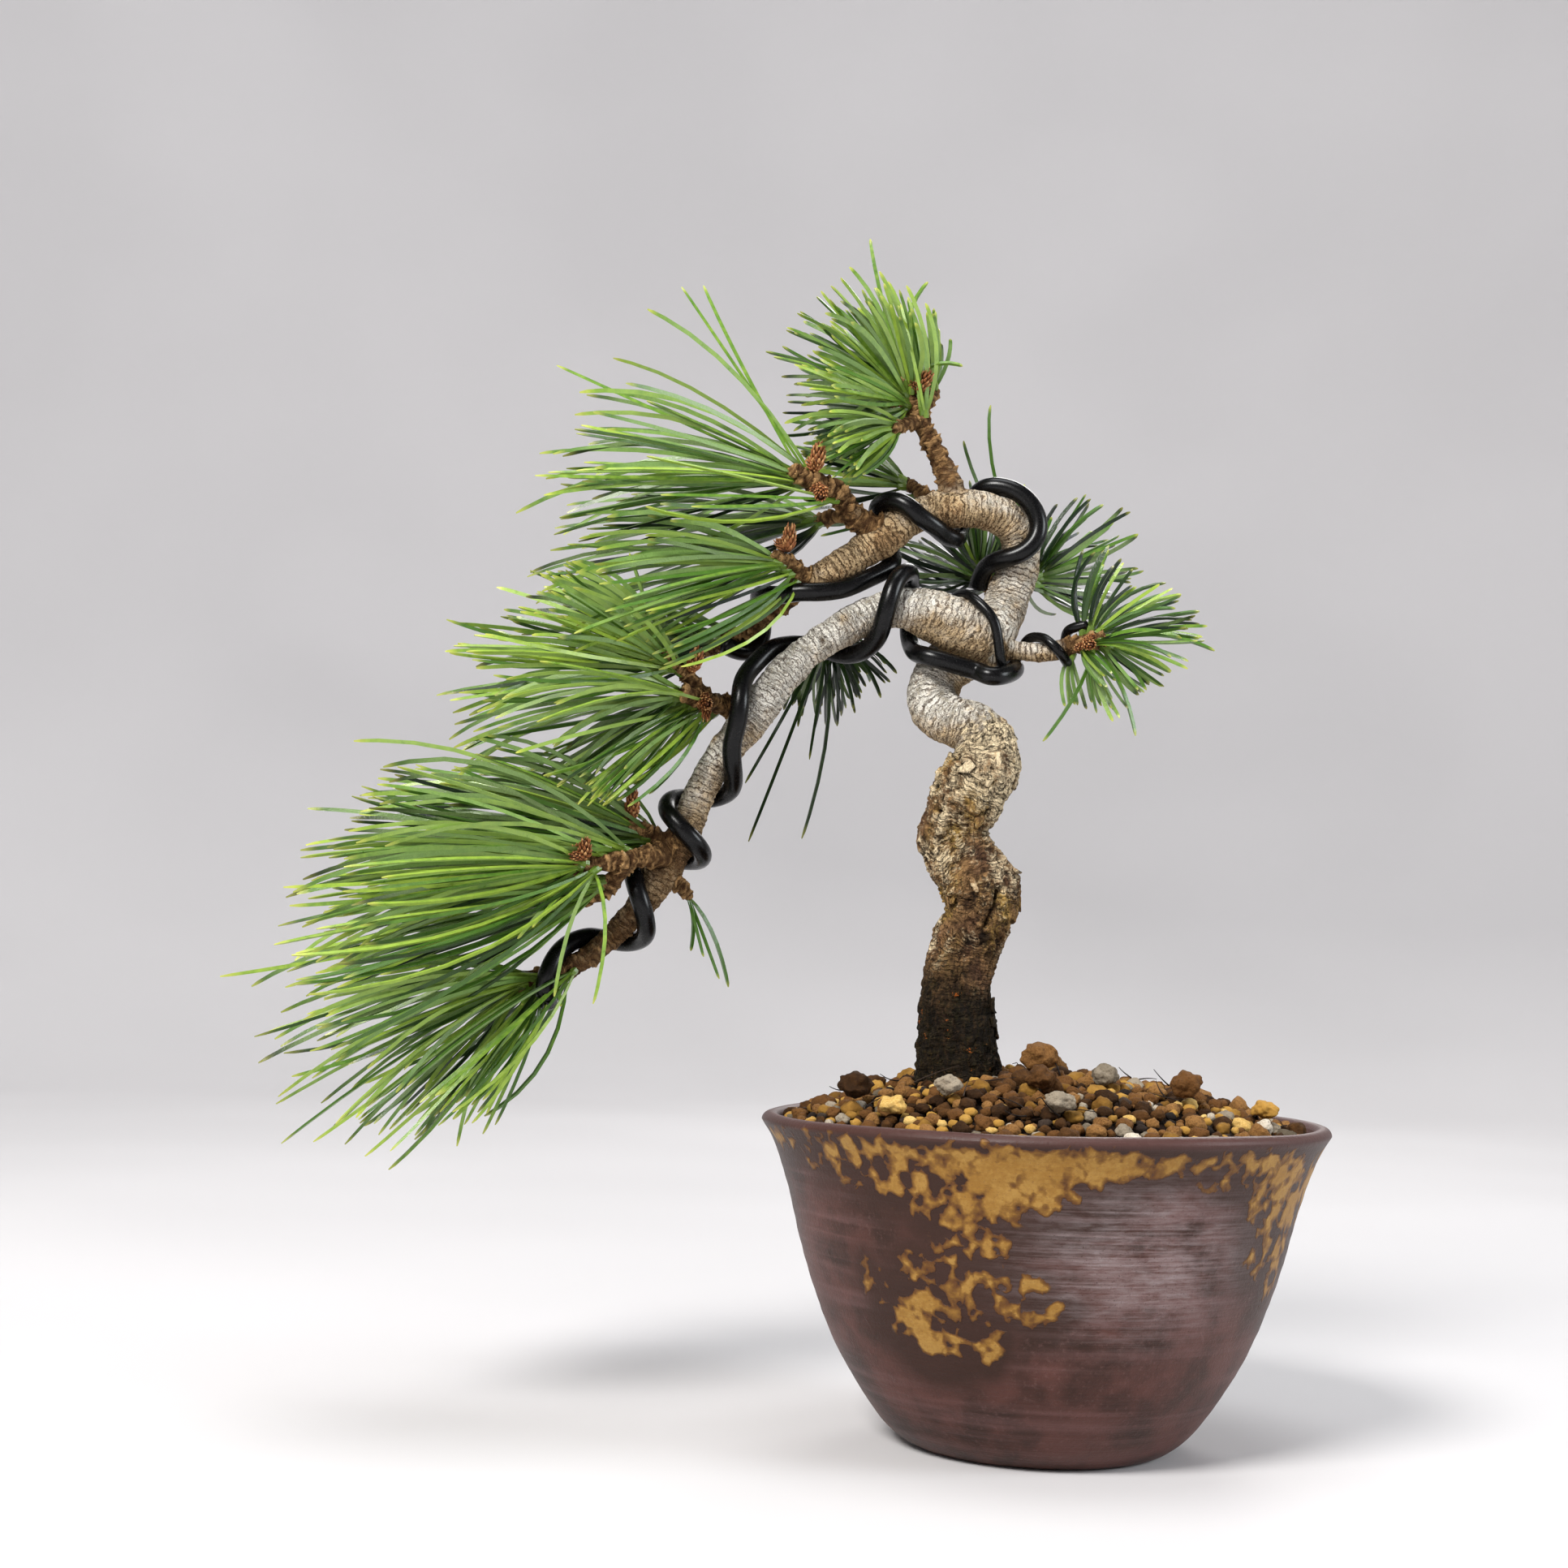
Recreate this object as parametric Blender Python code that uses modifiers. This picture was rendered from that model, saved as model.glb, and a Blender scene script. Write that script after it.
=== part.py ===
"""Wired five-needle pine, semi-cascade style, growing in a conical stoneware pot.

The frame stands at the centre of the pot's flat base: +Z up, -Y the front, the foliage falls towards -X.
All sizes are millimetres until they are handed to Blender.
"""
import math

import bmesh
import bpy
import numpy as np
from mathutils import Vector

MM = 0.001
OBJECT_NAME = "pine_bonsai"

# Pot
POT_RIM_RADIUS = 52.0
POT_HEIGHT = 58.8
POT_FOOT_RADIUS = 21.5
POT_WALL = 3.2
POT_FLOOR = 4.0
POT_LIP_DROP = 0.9
POT_LIP_SHARES = (0.72, 0.28)
POT_INNER_RINGS = 7
POT_TURN_STEPS = 36
# (share of the rim radius, share of the height) down the outside of the wall
POT_WALL_SHAPE = ((0.945, 0.90), (0.888, 0.75), (0.842, 0.595), (0.788, 0.45), (0.716, 0.30),
                  (0.625, 0.165), (0.540, 0.065), (0.465, 0.012))
DRAIN_HOLE_RADIUS = 3.5
DRAIN_HOLE_COUNT = 3
DRAIN_CIRCLE_RADIUS = 12.0
DRAIN_HOLE_SIDES = 20
DRAIN_FIRST_HOLE = 0.25

# Drain mesh
MESH_RADIUS = 18.5
MESH_THICKNESS = 1.0
MESH_PITCH = 5.2
MESH_BAR = 1.5
MESH_SIDES = 24
MESH_CUT_HEIGHT = 3.0

# Soil
SOIL_EDGE_DROP = 2.0
SOIL_MOUND = 9.5
SOIL_TURN_STEPS = 32
SOIL_RINGS = 6

# Gaps
CLEARANCE = 0.3
NEEDLE_CLEARANCE = 0.55

# Mesh quality
SHARP_ANGLE = 40.0
TURNED_WELD = 0.05
TUBE_WELD = 0.001
THICK_TUBE_ROUNDNESS = 2
THIN_TUBE_ROUNDNESS = 1

# Wood
WOOD_SCALE = 1.0
PLANTING_RIM_HEIGHT = 58.8
ROOT_COUNT = 5
ROOT_LENGTH = 22.0
ROOT_RADIUS = 2.6
ROOT_TIP_RADIUS = 1.1
ROOT_DROP = 12.0
ROOT_POT_GAP = 4.0
ROOT_STATION = 0.75
ROOT_FIRST_TURN = 0.3
# A root's four points: shares of the trunk's radius, of the drop and of the root's radius
ROOT_BURIED_SHARE = 0.25
ROOT_START_SHARE = 0.7
ROOT_BEND_DROP = 0.35
ROOT_BEND_WIDTH = 0.75
# Points of the trunk that stand in the soil
BURIED_TRUNK_POINTS = 5
# Steps between two points of a limb: as built, as measured for wires and buds, as kept clear by needles
LIMB_STEPS = 2
LIMB_MEASURE_STEPS = 16
LIMB_ROOM_STEPS = 4
WIRE_ROOM_STEPS = 3

# Training wire
THICK_WIRE_RADIUS = 1.6
THIN_WIRE_RADIUS = 0.8

# Needles
NEEDLE_SCALE = 1.0
HUB_RADIUS = 1.9
TUFT_DIRECTIONS = 84
SHORTEST_NEEDLE = 7.0
NEEDLE_STEP = 1.0
NEEDLE_HALF_WIDTH = 0.8
FAN_PULL = 0.5
# A needle's length as a share of its tuft's: out to the side, and how much is added along the axis
SIDE_NEEDLE_SHARE = 0.74
AXIS_NEEDLE_SHARE = 0.26
GOLDEN_ANGLE = math.pi * (3.0 - math.sqrt(5.0))

# Limbs: points (x, y, z, radius) from the root end outwards, set out for a rim at the planting height
LIMBS = {
    "trunk": ((-15, 0, 50, 9.2), (-15, 0, 58, 9.2), (-15.6, 0, 66.5, 7.9), (-16.4, 0, 75, 7.2),
              (-16.4, 0, 83.5, 6.5), (-15.2, 0, 89.5, 6.3), (-12.8, -1, 95, 6.4), (-12.2, -1, 99, 6.8),
              (-14.7, 0, 103.5, 6.8), (-17.6, 1, 108, 6.5), (-17.4, 1, 113, 6.4), (-15.1, 0, 118, 7.0),
              (-13, -1, 122.6, 6.9), (-12.9, -2, 126.6, 6.0), (-15, -2, 129.8, 5.2),
              (-18.6, -1, 131.2, 4.6), (-22, 1, 133.6, 4.6), (-22.6, 3, 137.5, 4.7),
              (-20.3, 4, 141.5, 4.9), (-16.4, 3, 144.8, 5.2), (-13.2, 1, 147, 5.4)),
    "cascade": ((-13.2, 1, 146.4, 5.4), (-16.8, -1, 148.2, 5.2), (-21.5, -2, 150.3, 4.8),
                (-26, -2, 151.5, 4.1), (-30.6, -2, 151.8, 3.7), (-35.8, -2, 149.8, 3.5),
                (-41.8, -3, 146.1, 3.3), (-47, -3, 142.2, 3.2), (-51.3, -4, 137.4, 3.3),
                (-54.8, -4, 132.1, 3.5), (-58.7, -4, 126.6, 3.2), (-62.7, -3, 121, 2.9),
                (-65.5, -3, 114.8, 2.9), (-67.4, -3, 109.5, 3.0), (-69.9, -3, 104.6, 3.4),
                (-72.6, -3, 99.2, 3.0), (-75.9, -3, 94.3, 2.6), (-79.8, -2, 89.7, 2.2),
                (-85, -2, 85, 2.0), (-89.7, -2, 82.2, 1.9), (-94.9, -1, 80.7, 1.8),
                (-99.5, 0, 79.5, 1.5)),
    "apex": ((-13.2, 1, 146.7, 5.0), (-9.9, 4, 151.8, 4.3), (-8.1, 6, 157, 4.0),
             (-6.4, 6, 162.5, 3.8), (-6.6, 5, 167, 3.6), (-9.2, 3, 170.2, 3.5),
             (-13.5, 1, 171.4, 3.4), (-18.9, 0, 171.5, 3.8), (-23.5, 0, 171.2, 3.1),
             (-28, 0, 169.1, 3.0), (-31.3, -1, 166.5, 3.6), (-36.9, -1, 162.2, 3.1),
             (-40.7, -2, 159.4, 2.9), (-44.4, -2, 157.1, 2.6), (-48.1, -1, 155.2, 2.2),
             (-51.5, 1, 152.3, 1.9), (-54.8, 3, 149.9, 1.9), (-58.5, 5, 147.3, 1.8),
             (-62.3, 6, 145.3, 1.6), (-66, 7, 143.7, 1.3)),
    "leader": ((-19, 0, 171.5, 2.6), (-20.6, 0, 176.4, 2.3), (-22.2, 0, 180.2, 2.1),
               (-24.3, 0, 184.3, 1.9), (-26.4, 0, 188, 1.8), (-28, 0, 191, 1.7),
               (-29.1, -1, 194, 1.4), (-30.3, -2, 196.5, 1.2)),
    "leader_back": ((-27.5, 0, 190, 1.5), (-30.2, 4, 191, 1.3), (-32.4, 8, 191.6, 1.0)),
    "leader_right": ((-27, 0, 189, 1.5), (-24.6, 3, 192.5, 1.2), (-23.2, 5, 195.2, 0.9)),
    "leader_low": ((-26.4, 0, 188, 1.5), (-29.4, -4, 186.2, 1.2), (-32, -7, 184.6, 1.0)),
    "upper_left": ((-32, -1, 166, 2.9), (-36.9, -2, 168.1, 2.3), (-39.6, -4, 170.2, 2.1),
                   (-41.5, -6, 172.5, 2.0), (-44.3, -8, 173.5, 1.9), (-47.5, -10, 173.9, 1.7),
                   (-50.2, -12, 175.2, 1.3)),
    "upper_left_spur": ((-38.5, -4, 169.3, 1.6), (-42.8, -1.5, 168.6, 1.4), (-46, 2, 168.4, 1.1)),
    "mid_left_spur": ((-46, -1.5, 156.2, 1.8), (-49.2, -5, 158.6, 1.5), (-53, -8, 160.2, 1.2)),
    "knot_shoot": ((-21.5, 0, 171.3, 1.6), (-25.4, 4.5, 175.2, 1.4), (-28.4, 8, 178, 1.1)),
    "outer_spur": ((-55, -2, 132.4, 2.4), (-59.8, 0.5, 132.8, 2.0), (-63.4, -2, 133, 1.9),
                   (-66.4, -6, 133.2, 1.8), (-68.6, -9.5, 133.8, 1.5)),
    "outer_spur_up": ((-64.5, -3.5, 133, 1.6), (-67.2, -6, 136.4, 1.4), (-70.5, -10, 139, 1.2),
                      (-73.5, -13, 140.8, 1.0)),
    "crown_high": ((-69, -3, 106, 1.9), (-73.4, -4.5, 108, 1.6), (-77, -5, 109.4, 1.4),
                   (-80, -5, 110.2, 1.1)),
    "crown_mid": ((-69.6, -3, 104.6, 2.3), (-74.5, -9, 103.6, 2.0), (-79, -12.5, 102.6, 1.8),
                  (-83.6, -14, 101.6, 1.6), (-88.5, -15, 101.2, 1.3)),
    "crown_low": ((-77.5, -11.5, 102.8, 1.7), (-80.2, -10.5, 98.6, 1.6), (-83.6, -9.5, 96, 1.4),
                  (-87.2, -8.5, 94.8, 1.1)),
    "crown_stub": ((-71.4, -3, 101.6, 2.0), (-68.2, 0, 98.8, 1.4), (-66.6, 2.2, 97, 1.0)),
    "right": ((-13.2, 1, 146.2, 2.8), (-8.9, 1, 145.2, 1.9), (-5.1, 1, 145, 1.7), (-0.7, 0, 145, 1.8),
              (2.4, 0, 146, 1.9), (6, -1, 147, 1.8), (9.2, -2, 147.4, 1.5)),
    "back_right": ((-7.8, 6, 158.8, 2.2), (-4.4, 11.5, 160.2, 1.6), (-2.4, 16.5, 161.6, 1.1)),
    "back_left": ((-9, 5, 154.5, 2.0), (-11.4, 13.5, 159.8, 1.5), (-13.2, 20, 163.2, 1.1)),
    "arch_back": ((-38.5, -2.5, 148.2, 2.0), (-41.6, 5, 147.6, 1.5), (-43.4, 11, 146.8, 1.1)),
}
THICK_LIMBS = ("trunk", "cascade", "apex")

# Wires: (limb followed, point number along it, angle round it, stand-off).
# 0 degrees is the front of the limb and +90 the side that lies outward of its bend.
CASCADE_WIRE = (("cascade", 0.25, -48, 0.6), ("cascade", 1.0, -60, 1.0), ("cascade", 2.0, -72, 1.6),
                ("cascade", 2.6, -92, 1.3), ("cascade", 3.1, -140, 0.8), ("cascade", 3.35, -205, 0.5),
                ("cascade", 3.5, -270, 1.2),
                ("cascade", 4.2, -360, 0), ("cascade", 5.4, -450, 0), ("cascade", 6.4, -540, 0),
                ("cascade", 7.4, -615, 0), ("cascade", 8.1, -640, 0), ("cascade", 8.6, -665, 0.8),
                ("cascade", 9.2, -692, 1.5), ("cascade", 10.2, -725, 0), ("cascade", 11.2, -800, 0),
                ("cascade", 11.8, -880, 0), ("cascade", 12.3, -975, 0), ("cascade", 12.7, -1015, 0),
                ("cascade", 13.1, -1070, 0), ("cascade", 13.5, -1155, 0), ("cascade", 14.0, -1240, 0),
                ("cascade", 14.8, -1340, 0), ("cascade", 15.6, -1425, 0), ("cascade", 16.3, -1510, 0),
                ("cascade", 17.0, -1580, 0), ("cascade", 17.6, -1670, 0), ("cascade", 18.4, -1720, 0),
                ("cascade", 19.0, -1765, 0), ("cascade", 19.4, -1820, 0.4),
                ("cascade", 19.6, -1890, 0.8))
APEX_WIRE = (("apex", 1.9, -105, 0.2), ("apex", 2.5, -75, 0.3), ("apex", 3.3, -10, 0),
             ("apex", 4.3, 35, 0), ("apex", 5.2, 72, 0), ("apex", 6.0, 110, 0), ("apex", 6.5, 180, 0),
             ("apex", 7.0, 262, 0), ("apex", 7.8, 285, 0), ("apex", 8.6, 335, 0),
             ("apex", 9.3, 400, 0), ("apex", 9.7, 450, 0), ("apex", 10.0, 530, 0),
             ("apex", 10.5, 612, 0), ("apex", 11.2, 640, 0), ("apex", 12.4, 655, 0),
             ("apex", 13.5, 690, 0), ("apex", 14.5, 730, 0), ("apex", 15.5, 800, 0),
             ("apex", 16.3, 890, 0), ("apex", 17.0, 980, 0), ("apex", 17.8, 1065, 0))
RIGHT_WIRE = (("cascade", 1.5, 62, 0), ("cascade", 0.7, 26, 0.8), ("right", 0.8, 30, 3.6),
              ("right", 1.3, 92, 0.3), ("right", 1.7, 180, 0), ("right", 2.1, 268, 0),
              ("right", 2.7, 295, 0), ("right", 3.3, 365, 0), ("right", 3.7, 450, 0),
              ("right", 3.9, 540, 0), ("right", 4.2, 625, 0.2), ("right", 5.1, 632, 0.2))
WIRE_STEP_DEGREES = 30.0

# Tufts: limb end they grow from, growth axis, half angle of the fan, needle length
TUFTS = {
    "needles_apex": ("leader", (-0.62, -0.1, 0.62), 62, 27),
    "needles_apex_back": ("leader_back", (-0.95, 0.35, -0.15), 55, 26),
    "needles_apex_right": ("leader_right", (0.1, 0.2, 1.0), 52, 22),
    "needles_apex_low": ("leader_low", (-0.85, -0.4, -0.35), 52, 25),
    "needles_upper_left": ("upper_left", (-0.96, -0.25, 0.25), 44, 44),
    "needles_upper_back": ("upper_left_spur", (-0.9, 0.5, 0.0), 46, 40),
    "needles_knot": ("knot_shoot", (-0.8, 0.6, 0.45), 48, 27),
    "needles_mid_left": ("mid_left_spur", (-0.95, -0.35, -0.15), 44, 40),
    "needles_mid_back": ("apex", (-0.9, 0.45, -0.35), 46, 34),
    "needles_outer_high": ("outer_spur_up", (-0.88, -0.3, 0.15), 48, 38),
    "needles_outer_low": ("outer_spur", (-0.8, -0.45, -0.6), 46, 35),
    "needles_crown_high": ("crown_high", (-0.95, 0.35, 0.1), 44, 44),
    "needles_crown_mid": ("crown_mid", (-0.97, -0.2, -0.12), 42, 46),
    "needles_crown_low": ("crown_low", (-0.9, 0.05, -0.4), 40, 44),
    "needles_cascade_end": ("cascade", (-0.87, 0.0, -0.4), 42, 42),
    "needles_crown_stub": ("crown_stub", (0.3, 0.35, -0.9), 34, 17),
    "needles_right": ("right", (0.9, -0.15, 0.15), 66, 20),
    "needles_back_right": ("back_right", (0.65, 0.6, 0.45), 56, 27),
    "needles_back_left": ("back_left", (-0.2, 0.95, 0.1), 56, 24),
    "needles_arch_back": ("arch_back", (-0.1, 0.55, -0.8), 46, 22),
}

# Buds: limb they stand on, point number, direction, length
BUDS = {
    "bud_apex": ("leader", 5.3, (0.45, -0.65, 0.6), 5.5),
    "bud_upper_left": ("upper_left", 4.6, (0.15, -0.55, 0.85), 5.5),
    "bud_upper_left_low": ("upper_left", 4.0, (-0.1, -0.85, -0.55), 5.0),
    "bud_mid_left": ("mid_left_spur", 1.4, (0.1, -0.4, 1.0), 5.0),
    "bud_outer_high": ("outer_spur_up", 1.2, (0.3, -0.75, 0.7), 5.5),
    "bud_outer_low": ("outer_spur", 2.6, (0.2, -1.0, -0.25), 5.0),
    "bud_crown_high": ("crown_high", 2.2, (0.1, -0.5, 0.95), 5.0),
    "bud_crown_mid": ("crown_mid", 3.3, (0.1, -0.8, 0.7), 5.0),
    "bud_right": ("right", 4.7, (0.2, -1.0, -0.2), 4.5),
}
BUD_GAP = 0.5
BUD_RADIUS_SHARE = 0.27
BUD_SEGMENTS = 8
BUD_RINGS = 5
BUD_TAPER = 0.45
BUD_ROOM_SHARES = (0.2, 0.5, 0.8)

# Surface grains: (distance from the pot's axis, bearing in degrees, size, squash)
GRAINS = {
    "soil_grain_clay_large": (7.5, 255, 7.2, 0.8),
    "soil_grain_clay_front": (25, 262, 6.0, 0.75),
    "soil_grain_clay_left": (39, 205, 6.6, 0.75),
    "soil_grain_clay_right": (30, 320, 6.4, 0.8),
    "soil_grain_clay_far": (28, 80, 6.2, 0.75),
    "soil_grain_pumice_front": (38, 268, 5.4, 0.7),
    "soil_grain_pumice_left": (31, 232, 5.0, 0.75),
    "soil_grain_pumice_right": (18, 300, 5.2, 0.7),
    "soil_grain_pebble_left": (42, 226, 4.8, 0.7),
    "soil_grain_pebble_right": (41, 335, 4.8, 0.7),
    "soil_grain_pebble_far": (36, 130, 5.0, 0.7),
}
GRAIN_ROUGHNESS = 0.14
GRAIN_SUBDIVISIONS = 2
GRAIN_FACET_ANGLE = 16.0
GRAIN_SEED = 11

FINISHES = {
    "stoneware": ((0.10, 0.045, 0.045, 1.0), 0.45),
    "bark": ((0.36, 0.29, 0.23, 1.0), 0.85),
    "needle": ((0.09, 0.26, 0.06, 1.0), 0.45),
    "bud_scale": ((0.35, 0.15, 0.05, 1.0), 0.7),
    "black_wire": ((0.012, 0.012, 0.013, 1.0), 0.4),
    "soil": ((0.13, 0.065, 0.03, 1.0), 0.95),
    "mesh_plastic": ((0.03, 0.03, 0.035, 1.0), 0.6),
}


def clear_scene():
    """Remove every object the session starts with."""
    for obj in list(bpy.data.objects):
        bpy.data.objects.remove(obj, do_unlink=True)


def make_collection(name):
    """Make a collection in the scene."""
    collection = bpy.data.collections.new(name)
    bpy.context.scene.collection.children.link(collection)
    return collection


def make_material(node_name, finish):
    """Give a node a Principled material of its own, in the given finish."""
    colour, roughness = FINISHES[finish]
    material = bpy.data.materials.new(node_name + "_" + finish)
    material.use_nodes = True
    shader = material.node_tree.nodes["Principled BSDF"]
    shader.inputs["Base Color"].default_value = colour
    shader.inputs["Roughness"].default_value = roughness
    material.diffuse_color = colour
    return material


def add_mesh(name, mesh, collection, finish=None):
    """Link a mesh as a named object, smooth where its faces meet softly."""
    obj = bpy.data.objects.new(name, mesh)
    collection.objects.link(obj)
    mesh.shade_smooth()
    mesh.set_sharp_from_angle(angle=math.radians(SHARP_ANGLE))
    if finish:
        mesh.materials.append(make_material(name, finish))
    return obj


def as_cutter(obj):
    """Show a helper as a wire frame only."""
    obj.display_type = "WIRE"
    obj.hide_render = True
    return obj


def add_boolean(target, operation, operand):
    """Add an exact Boolean of one object, or of a whole collection, to the target."""
    modifier = target.modifiers.new(operation.lower(), "BOOLEAN")
    modifier.operation = operation
    modifier.solver = "EXACT"
    if isinstance(operand, bpy.types.Collection):
        modifier.operand_type = "COLLECTION"
        modifier.collection = operand
    else:
        modifier.object = operand


def turned_mesh_object(name, profile, steps, collection, finish):
    """Turn a profile of (radius, height) points about Z with a Screw modifier."""
    mesh = bpy.data.meshes.new(name)
    points = [(radius * MM, 0.0, height * MM) for radius, height in profile]
    edges = [(index, index + 1) for index in range(len(points) - 1)]
    mesh.from_pydata(points, edges, [])
    obj = bpy.data.objects.new(name, mesh)
    collection.objects.link(obj)
    screw = obj.modifiers.new("turn", "SCREW")
    screw.steps = steps
    screw.render_steps = steps
    screw.use_merge_vertices = True
    screw.merge_threshold = TURNED_WELD * MM
    screw.use_normal_calculate = True
    mesh.materials.append(make_material(name, finish))
    return obj


def cylinder(name, radius, depth, centre, sides, collection, finish=None):
    """Make a closed upright cylinder about its centre."""
    shape = bmesh.new()
    bmesh.ops.create_cone(shape, cap_ends=True, segments=sides, radius1=radius * MM,
                          radius2=radius * MM, depth=depth * MM)
    mesh = bpy.data.meshes.new(name)
    shape.to_mesh(mesh)
    shape.free()
    obj = add_mesh(name, mesh, collection, finish)
    obj.location = Vector(centre) * MM
    return obj


def box(name, size, centre, collection):
    """Make a closed box about its centre."""
    shape = bmesh.new()
    bmesh.ops.create_cube(shape, size=1.0)
    bmesh.ops.scale(shape, vec=Vector(size) * MM, verts=shape.verts)
    mesh = bpy.data.meshes.new(name)
    shape.to_mesh(mesh)
    shape.free()
    obj = add_mesh(name, mesh, collection)
    obj.location = Vector(centre) * MM
    return obj


# ---------------------------------------------------------------- pot, mesh and soil

def pot_outer_profile():
    """List (radius, height) down the outside of the pot, from under the lip to the foot."""
    wall = [(POT_RIM_RADIUS * wide, POT_HEIGHT * high) for wide, high in POT_WALL_SHAPE]
    return [(POT_RIM_RADIUS, POT_HEIGHT - POT_LIP_DROP)] + wall + [(POT_FOOT_RADIUS, 0.0)]


def pot_outer_radius(height):
    """Find the outer radius of the pot at a height."""
    profile = pot_outer_profile()[::-1]
    return float(np.interp(height, [z for _, z in profile], [r for r, _ in profile]))


def pot_inner_radius(height):
    """Find the inner radius of the pot at a height above its floor."""
    return pot_outer_radius(height) - POT_WALL


def inner_heights():
    """List the heights of the inner wall's rings, from the floor to under the lip."""
    top = POT_HEIGHT - POT_LIP_DROP
    gap = (top - POT_FLOOR) / POT_INNER_RINGS
    return [POT_FLOOR + gap * step for step in range(POT_INNER_RINGS + 1)]


def build_pot(collection, cutters):
    """Turn the pot and cut its drain holes."""
    inside = [(pot_inner_radius(height), height) for height in inner_heights()]
    lip = [(POT_RIM_RADIUS - share * POT_WALL, POT_HEIGHT) for share in POT_LIP_SHARES]
    profile = [(0.0, POT_FLOOR)] + inside + lip + pot_outer_profile() + [(0.0, 0.0)]
    pot = turned_mesh_object("pot", profile, POT_TURN_STEPS, collection, "stoneware")
    for number in range(DRAIN_HOLE_COUNT):
        turn = math.tau * (number + DRAIN_FIRST_HOLE) / DRAIN_HOLE_COUNT
        centre = (DRAIN_CIRCLE_RADIUS * math.cos(turn), DRAIN_CIRCLE_RADIUS * math.sin(turn),
                  POT_FLOOR / 2)
        hole = cylinder(f"drain_hole_cut_{number}", DRAIN_HOLE_RADIUS, 2 * POT_FLOOR, centre,
                        DRAIN_HOLE_SIDES, cutters)
        add_boolean(pot, "DIFFERENCE", as_cutter(hole))


def build_drain_mesh(collection, cutters):
    """Make the round plastic mesh that lies on the pot's floor."""
    middle = POT_FLOOR + CLEARANCE + MESH_THICKNESS / 2
    plate = cylinder("drain_mesh", MESH_RADIUS, MESH_THICKNESS, (0, 0, middle), MESH_SIDES,
                     collection, "mesh_plastic")
    opening = MESH_PITCH - MESH_BAR
    reach = int(MESH_RADIUS // MESH_PITCH)
    for column in range(-reach, reach + 1):
        for row in range(-reach, reach + 1):
            corner = math.hypot(abs(column) * MESH_PITCH + opening / 2,
                                abs(row) * MESH_PITCH + opening / 2)
            if corner > MESH_RADIUS - MESH_BAR:
                continue
            name = f"mesh_cut_{column + reach}_{row + reach}"
            cut = box(name, (opening, opening, MESH_CUT_HEIGHT),
                      (column * MESH_PITCH, row * MESH_PITCH, middle), cutters)
            add_boolean(plate, "DIFFERENCE", as_cutter(cut))


def soil_height(distance):
    """Find the height of the soil's mound at a distance from the pot's axis."""
    edge = POT_HEIGHT - SOIL_EDGE_DROP
    span = pot_inner_radius(edge)
    return edge + SOIL_MOUND * (1.0 - min(distance / span, 1.0) ** 2)


def build_soil(collection, sockets):
    """Turn the soil bed to fit the pot and cut room in it for the root base."""
    edge = POT_HEIGHT - SOIL_EDGE_DROP
    mesh_top = POT_FLOOR + MESH_THICKNESS + 2 * CLEARANCE
    floor = POT_FLOOR + CLEARANCE
    mesh_edge = MESH_RADIUS + CLEARANCE
    span = pot_inner_radius(edge) - CLEARANCE
    mound = []
    for ring in range(SOIL_RINGS):
        distance = span * ring / SOIL_RINGS
        mound.append((distance, soil_height(distance)))
    heights = [height for height in inner_heights() if height < edge]
    side = [(span, edge)]
    side += [(pot_inner_radius(height) - CLEARANCE, max(height, floor)) for height in heights[::-1]]
    under = [(mesh_edge, floor), (mesh_edge, mesh_top), (0.0, mesh_top)]
    soil = turned_mesh_object("soil_bed", mound + side + under, SOIL_TURN_STEPS, collection, "soil")
    add_boolean(soil, "DIFFERENCE", sockets)


def build_grains(collection):
    """Set the largest loose grains on top of the soil."""
    chance = np.random.default_rng(GRAIN_SEED)
    for name, (distance, bearing, size, squash) in GRAINS.items():
        shape = bmesh.new()
        bmesh.ops.create_icosphere(shape, subdivisions=GRAIN_SUBDIVISIONS, radius=size / 2 * MM)
        lift = size / 2 * (1.0 + GRAIN_ROUGHNESS)
        for vert in shape.verts:
            vert.co *= 1.0 + GRAIN_ROUGHNESS * (2.0 * chance.random() - 1.0)
            vert.co.z *= squash
        bmesh.ops.dissolve_limit(shape, angle_limit=math.radians(GRAIN_FACET_ANGLE),
                                 verts=shape.verts, edges=shape.edges)
        bmesh.ops.triangulate(shape, faces=shape.faces)
        mesh = bpy.data.meshes.new(name)
        shape.to_mesh(mesh)
        shape.free()
        grain = add_mesh(name, mesh, collection, "soil")
        turn = math.radians(bearing)
        nearest = max(distance - size / 2, 0.0)
        grain.location = Vector((distance * math.cos(turn), distance * math.sin(turn),
                                 soil_height(nearest) + lift * squash + CLEARANCE)) * MM
        grain.rotation_euler = (0.0, 0.0, turn)


# ---------------------------------------------------------------- wood

def smooth_points(points, steps):
    """Run a Catmull-Rom curve through points, with a number of steps per span."""
    rows = np.array(points, dtype=float)
    padded = np.vstack([2 * rows[0] - rows[1], rows, 2 * rows[-1] - rows[-2]])
    out = []
    for span in range(len(rows) - 1):
        before, start, end, after = padded[span:span + 4]
        for step in range(steps):
            t = step / steps
            out.append(0.5 * (2 * start + (end - before) * t
                              + (2 * before - 5 * start + 4 * end - after) * t ** 2
                              + (3 * start - before - 3 * end + after) * t ** 3))
    out.append(rows[-1])
    return np.array(out)


def limb_points(name):
    """List a limb's points with its thickness scaled, lifted with the pot's rim."""
    rows = np.array(LIMBS[name], dtype=float)
    rows[:, 2] += POT_HEIGHT - PLANTING_RIM_HEIGHT
    rows[:, 3] *= WOOD_SCALE
    return rows


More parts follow.
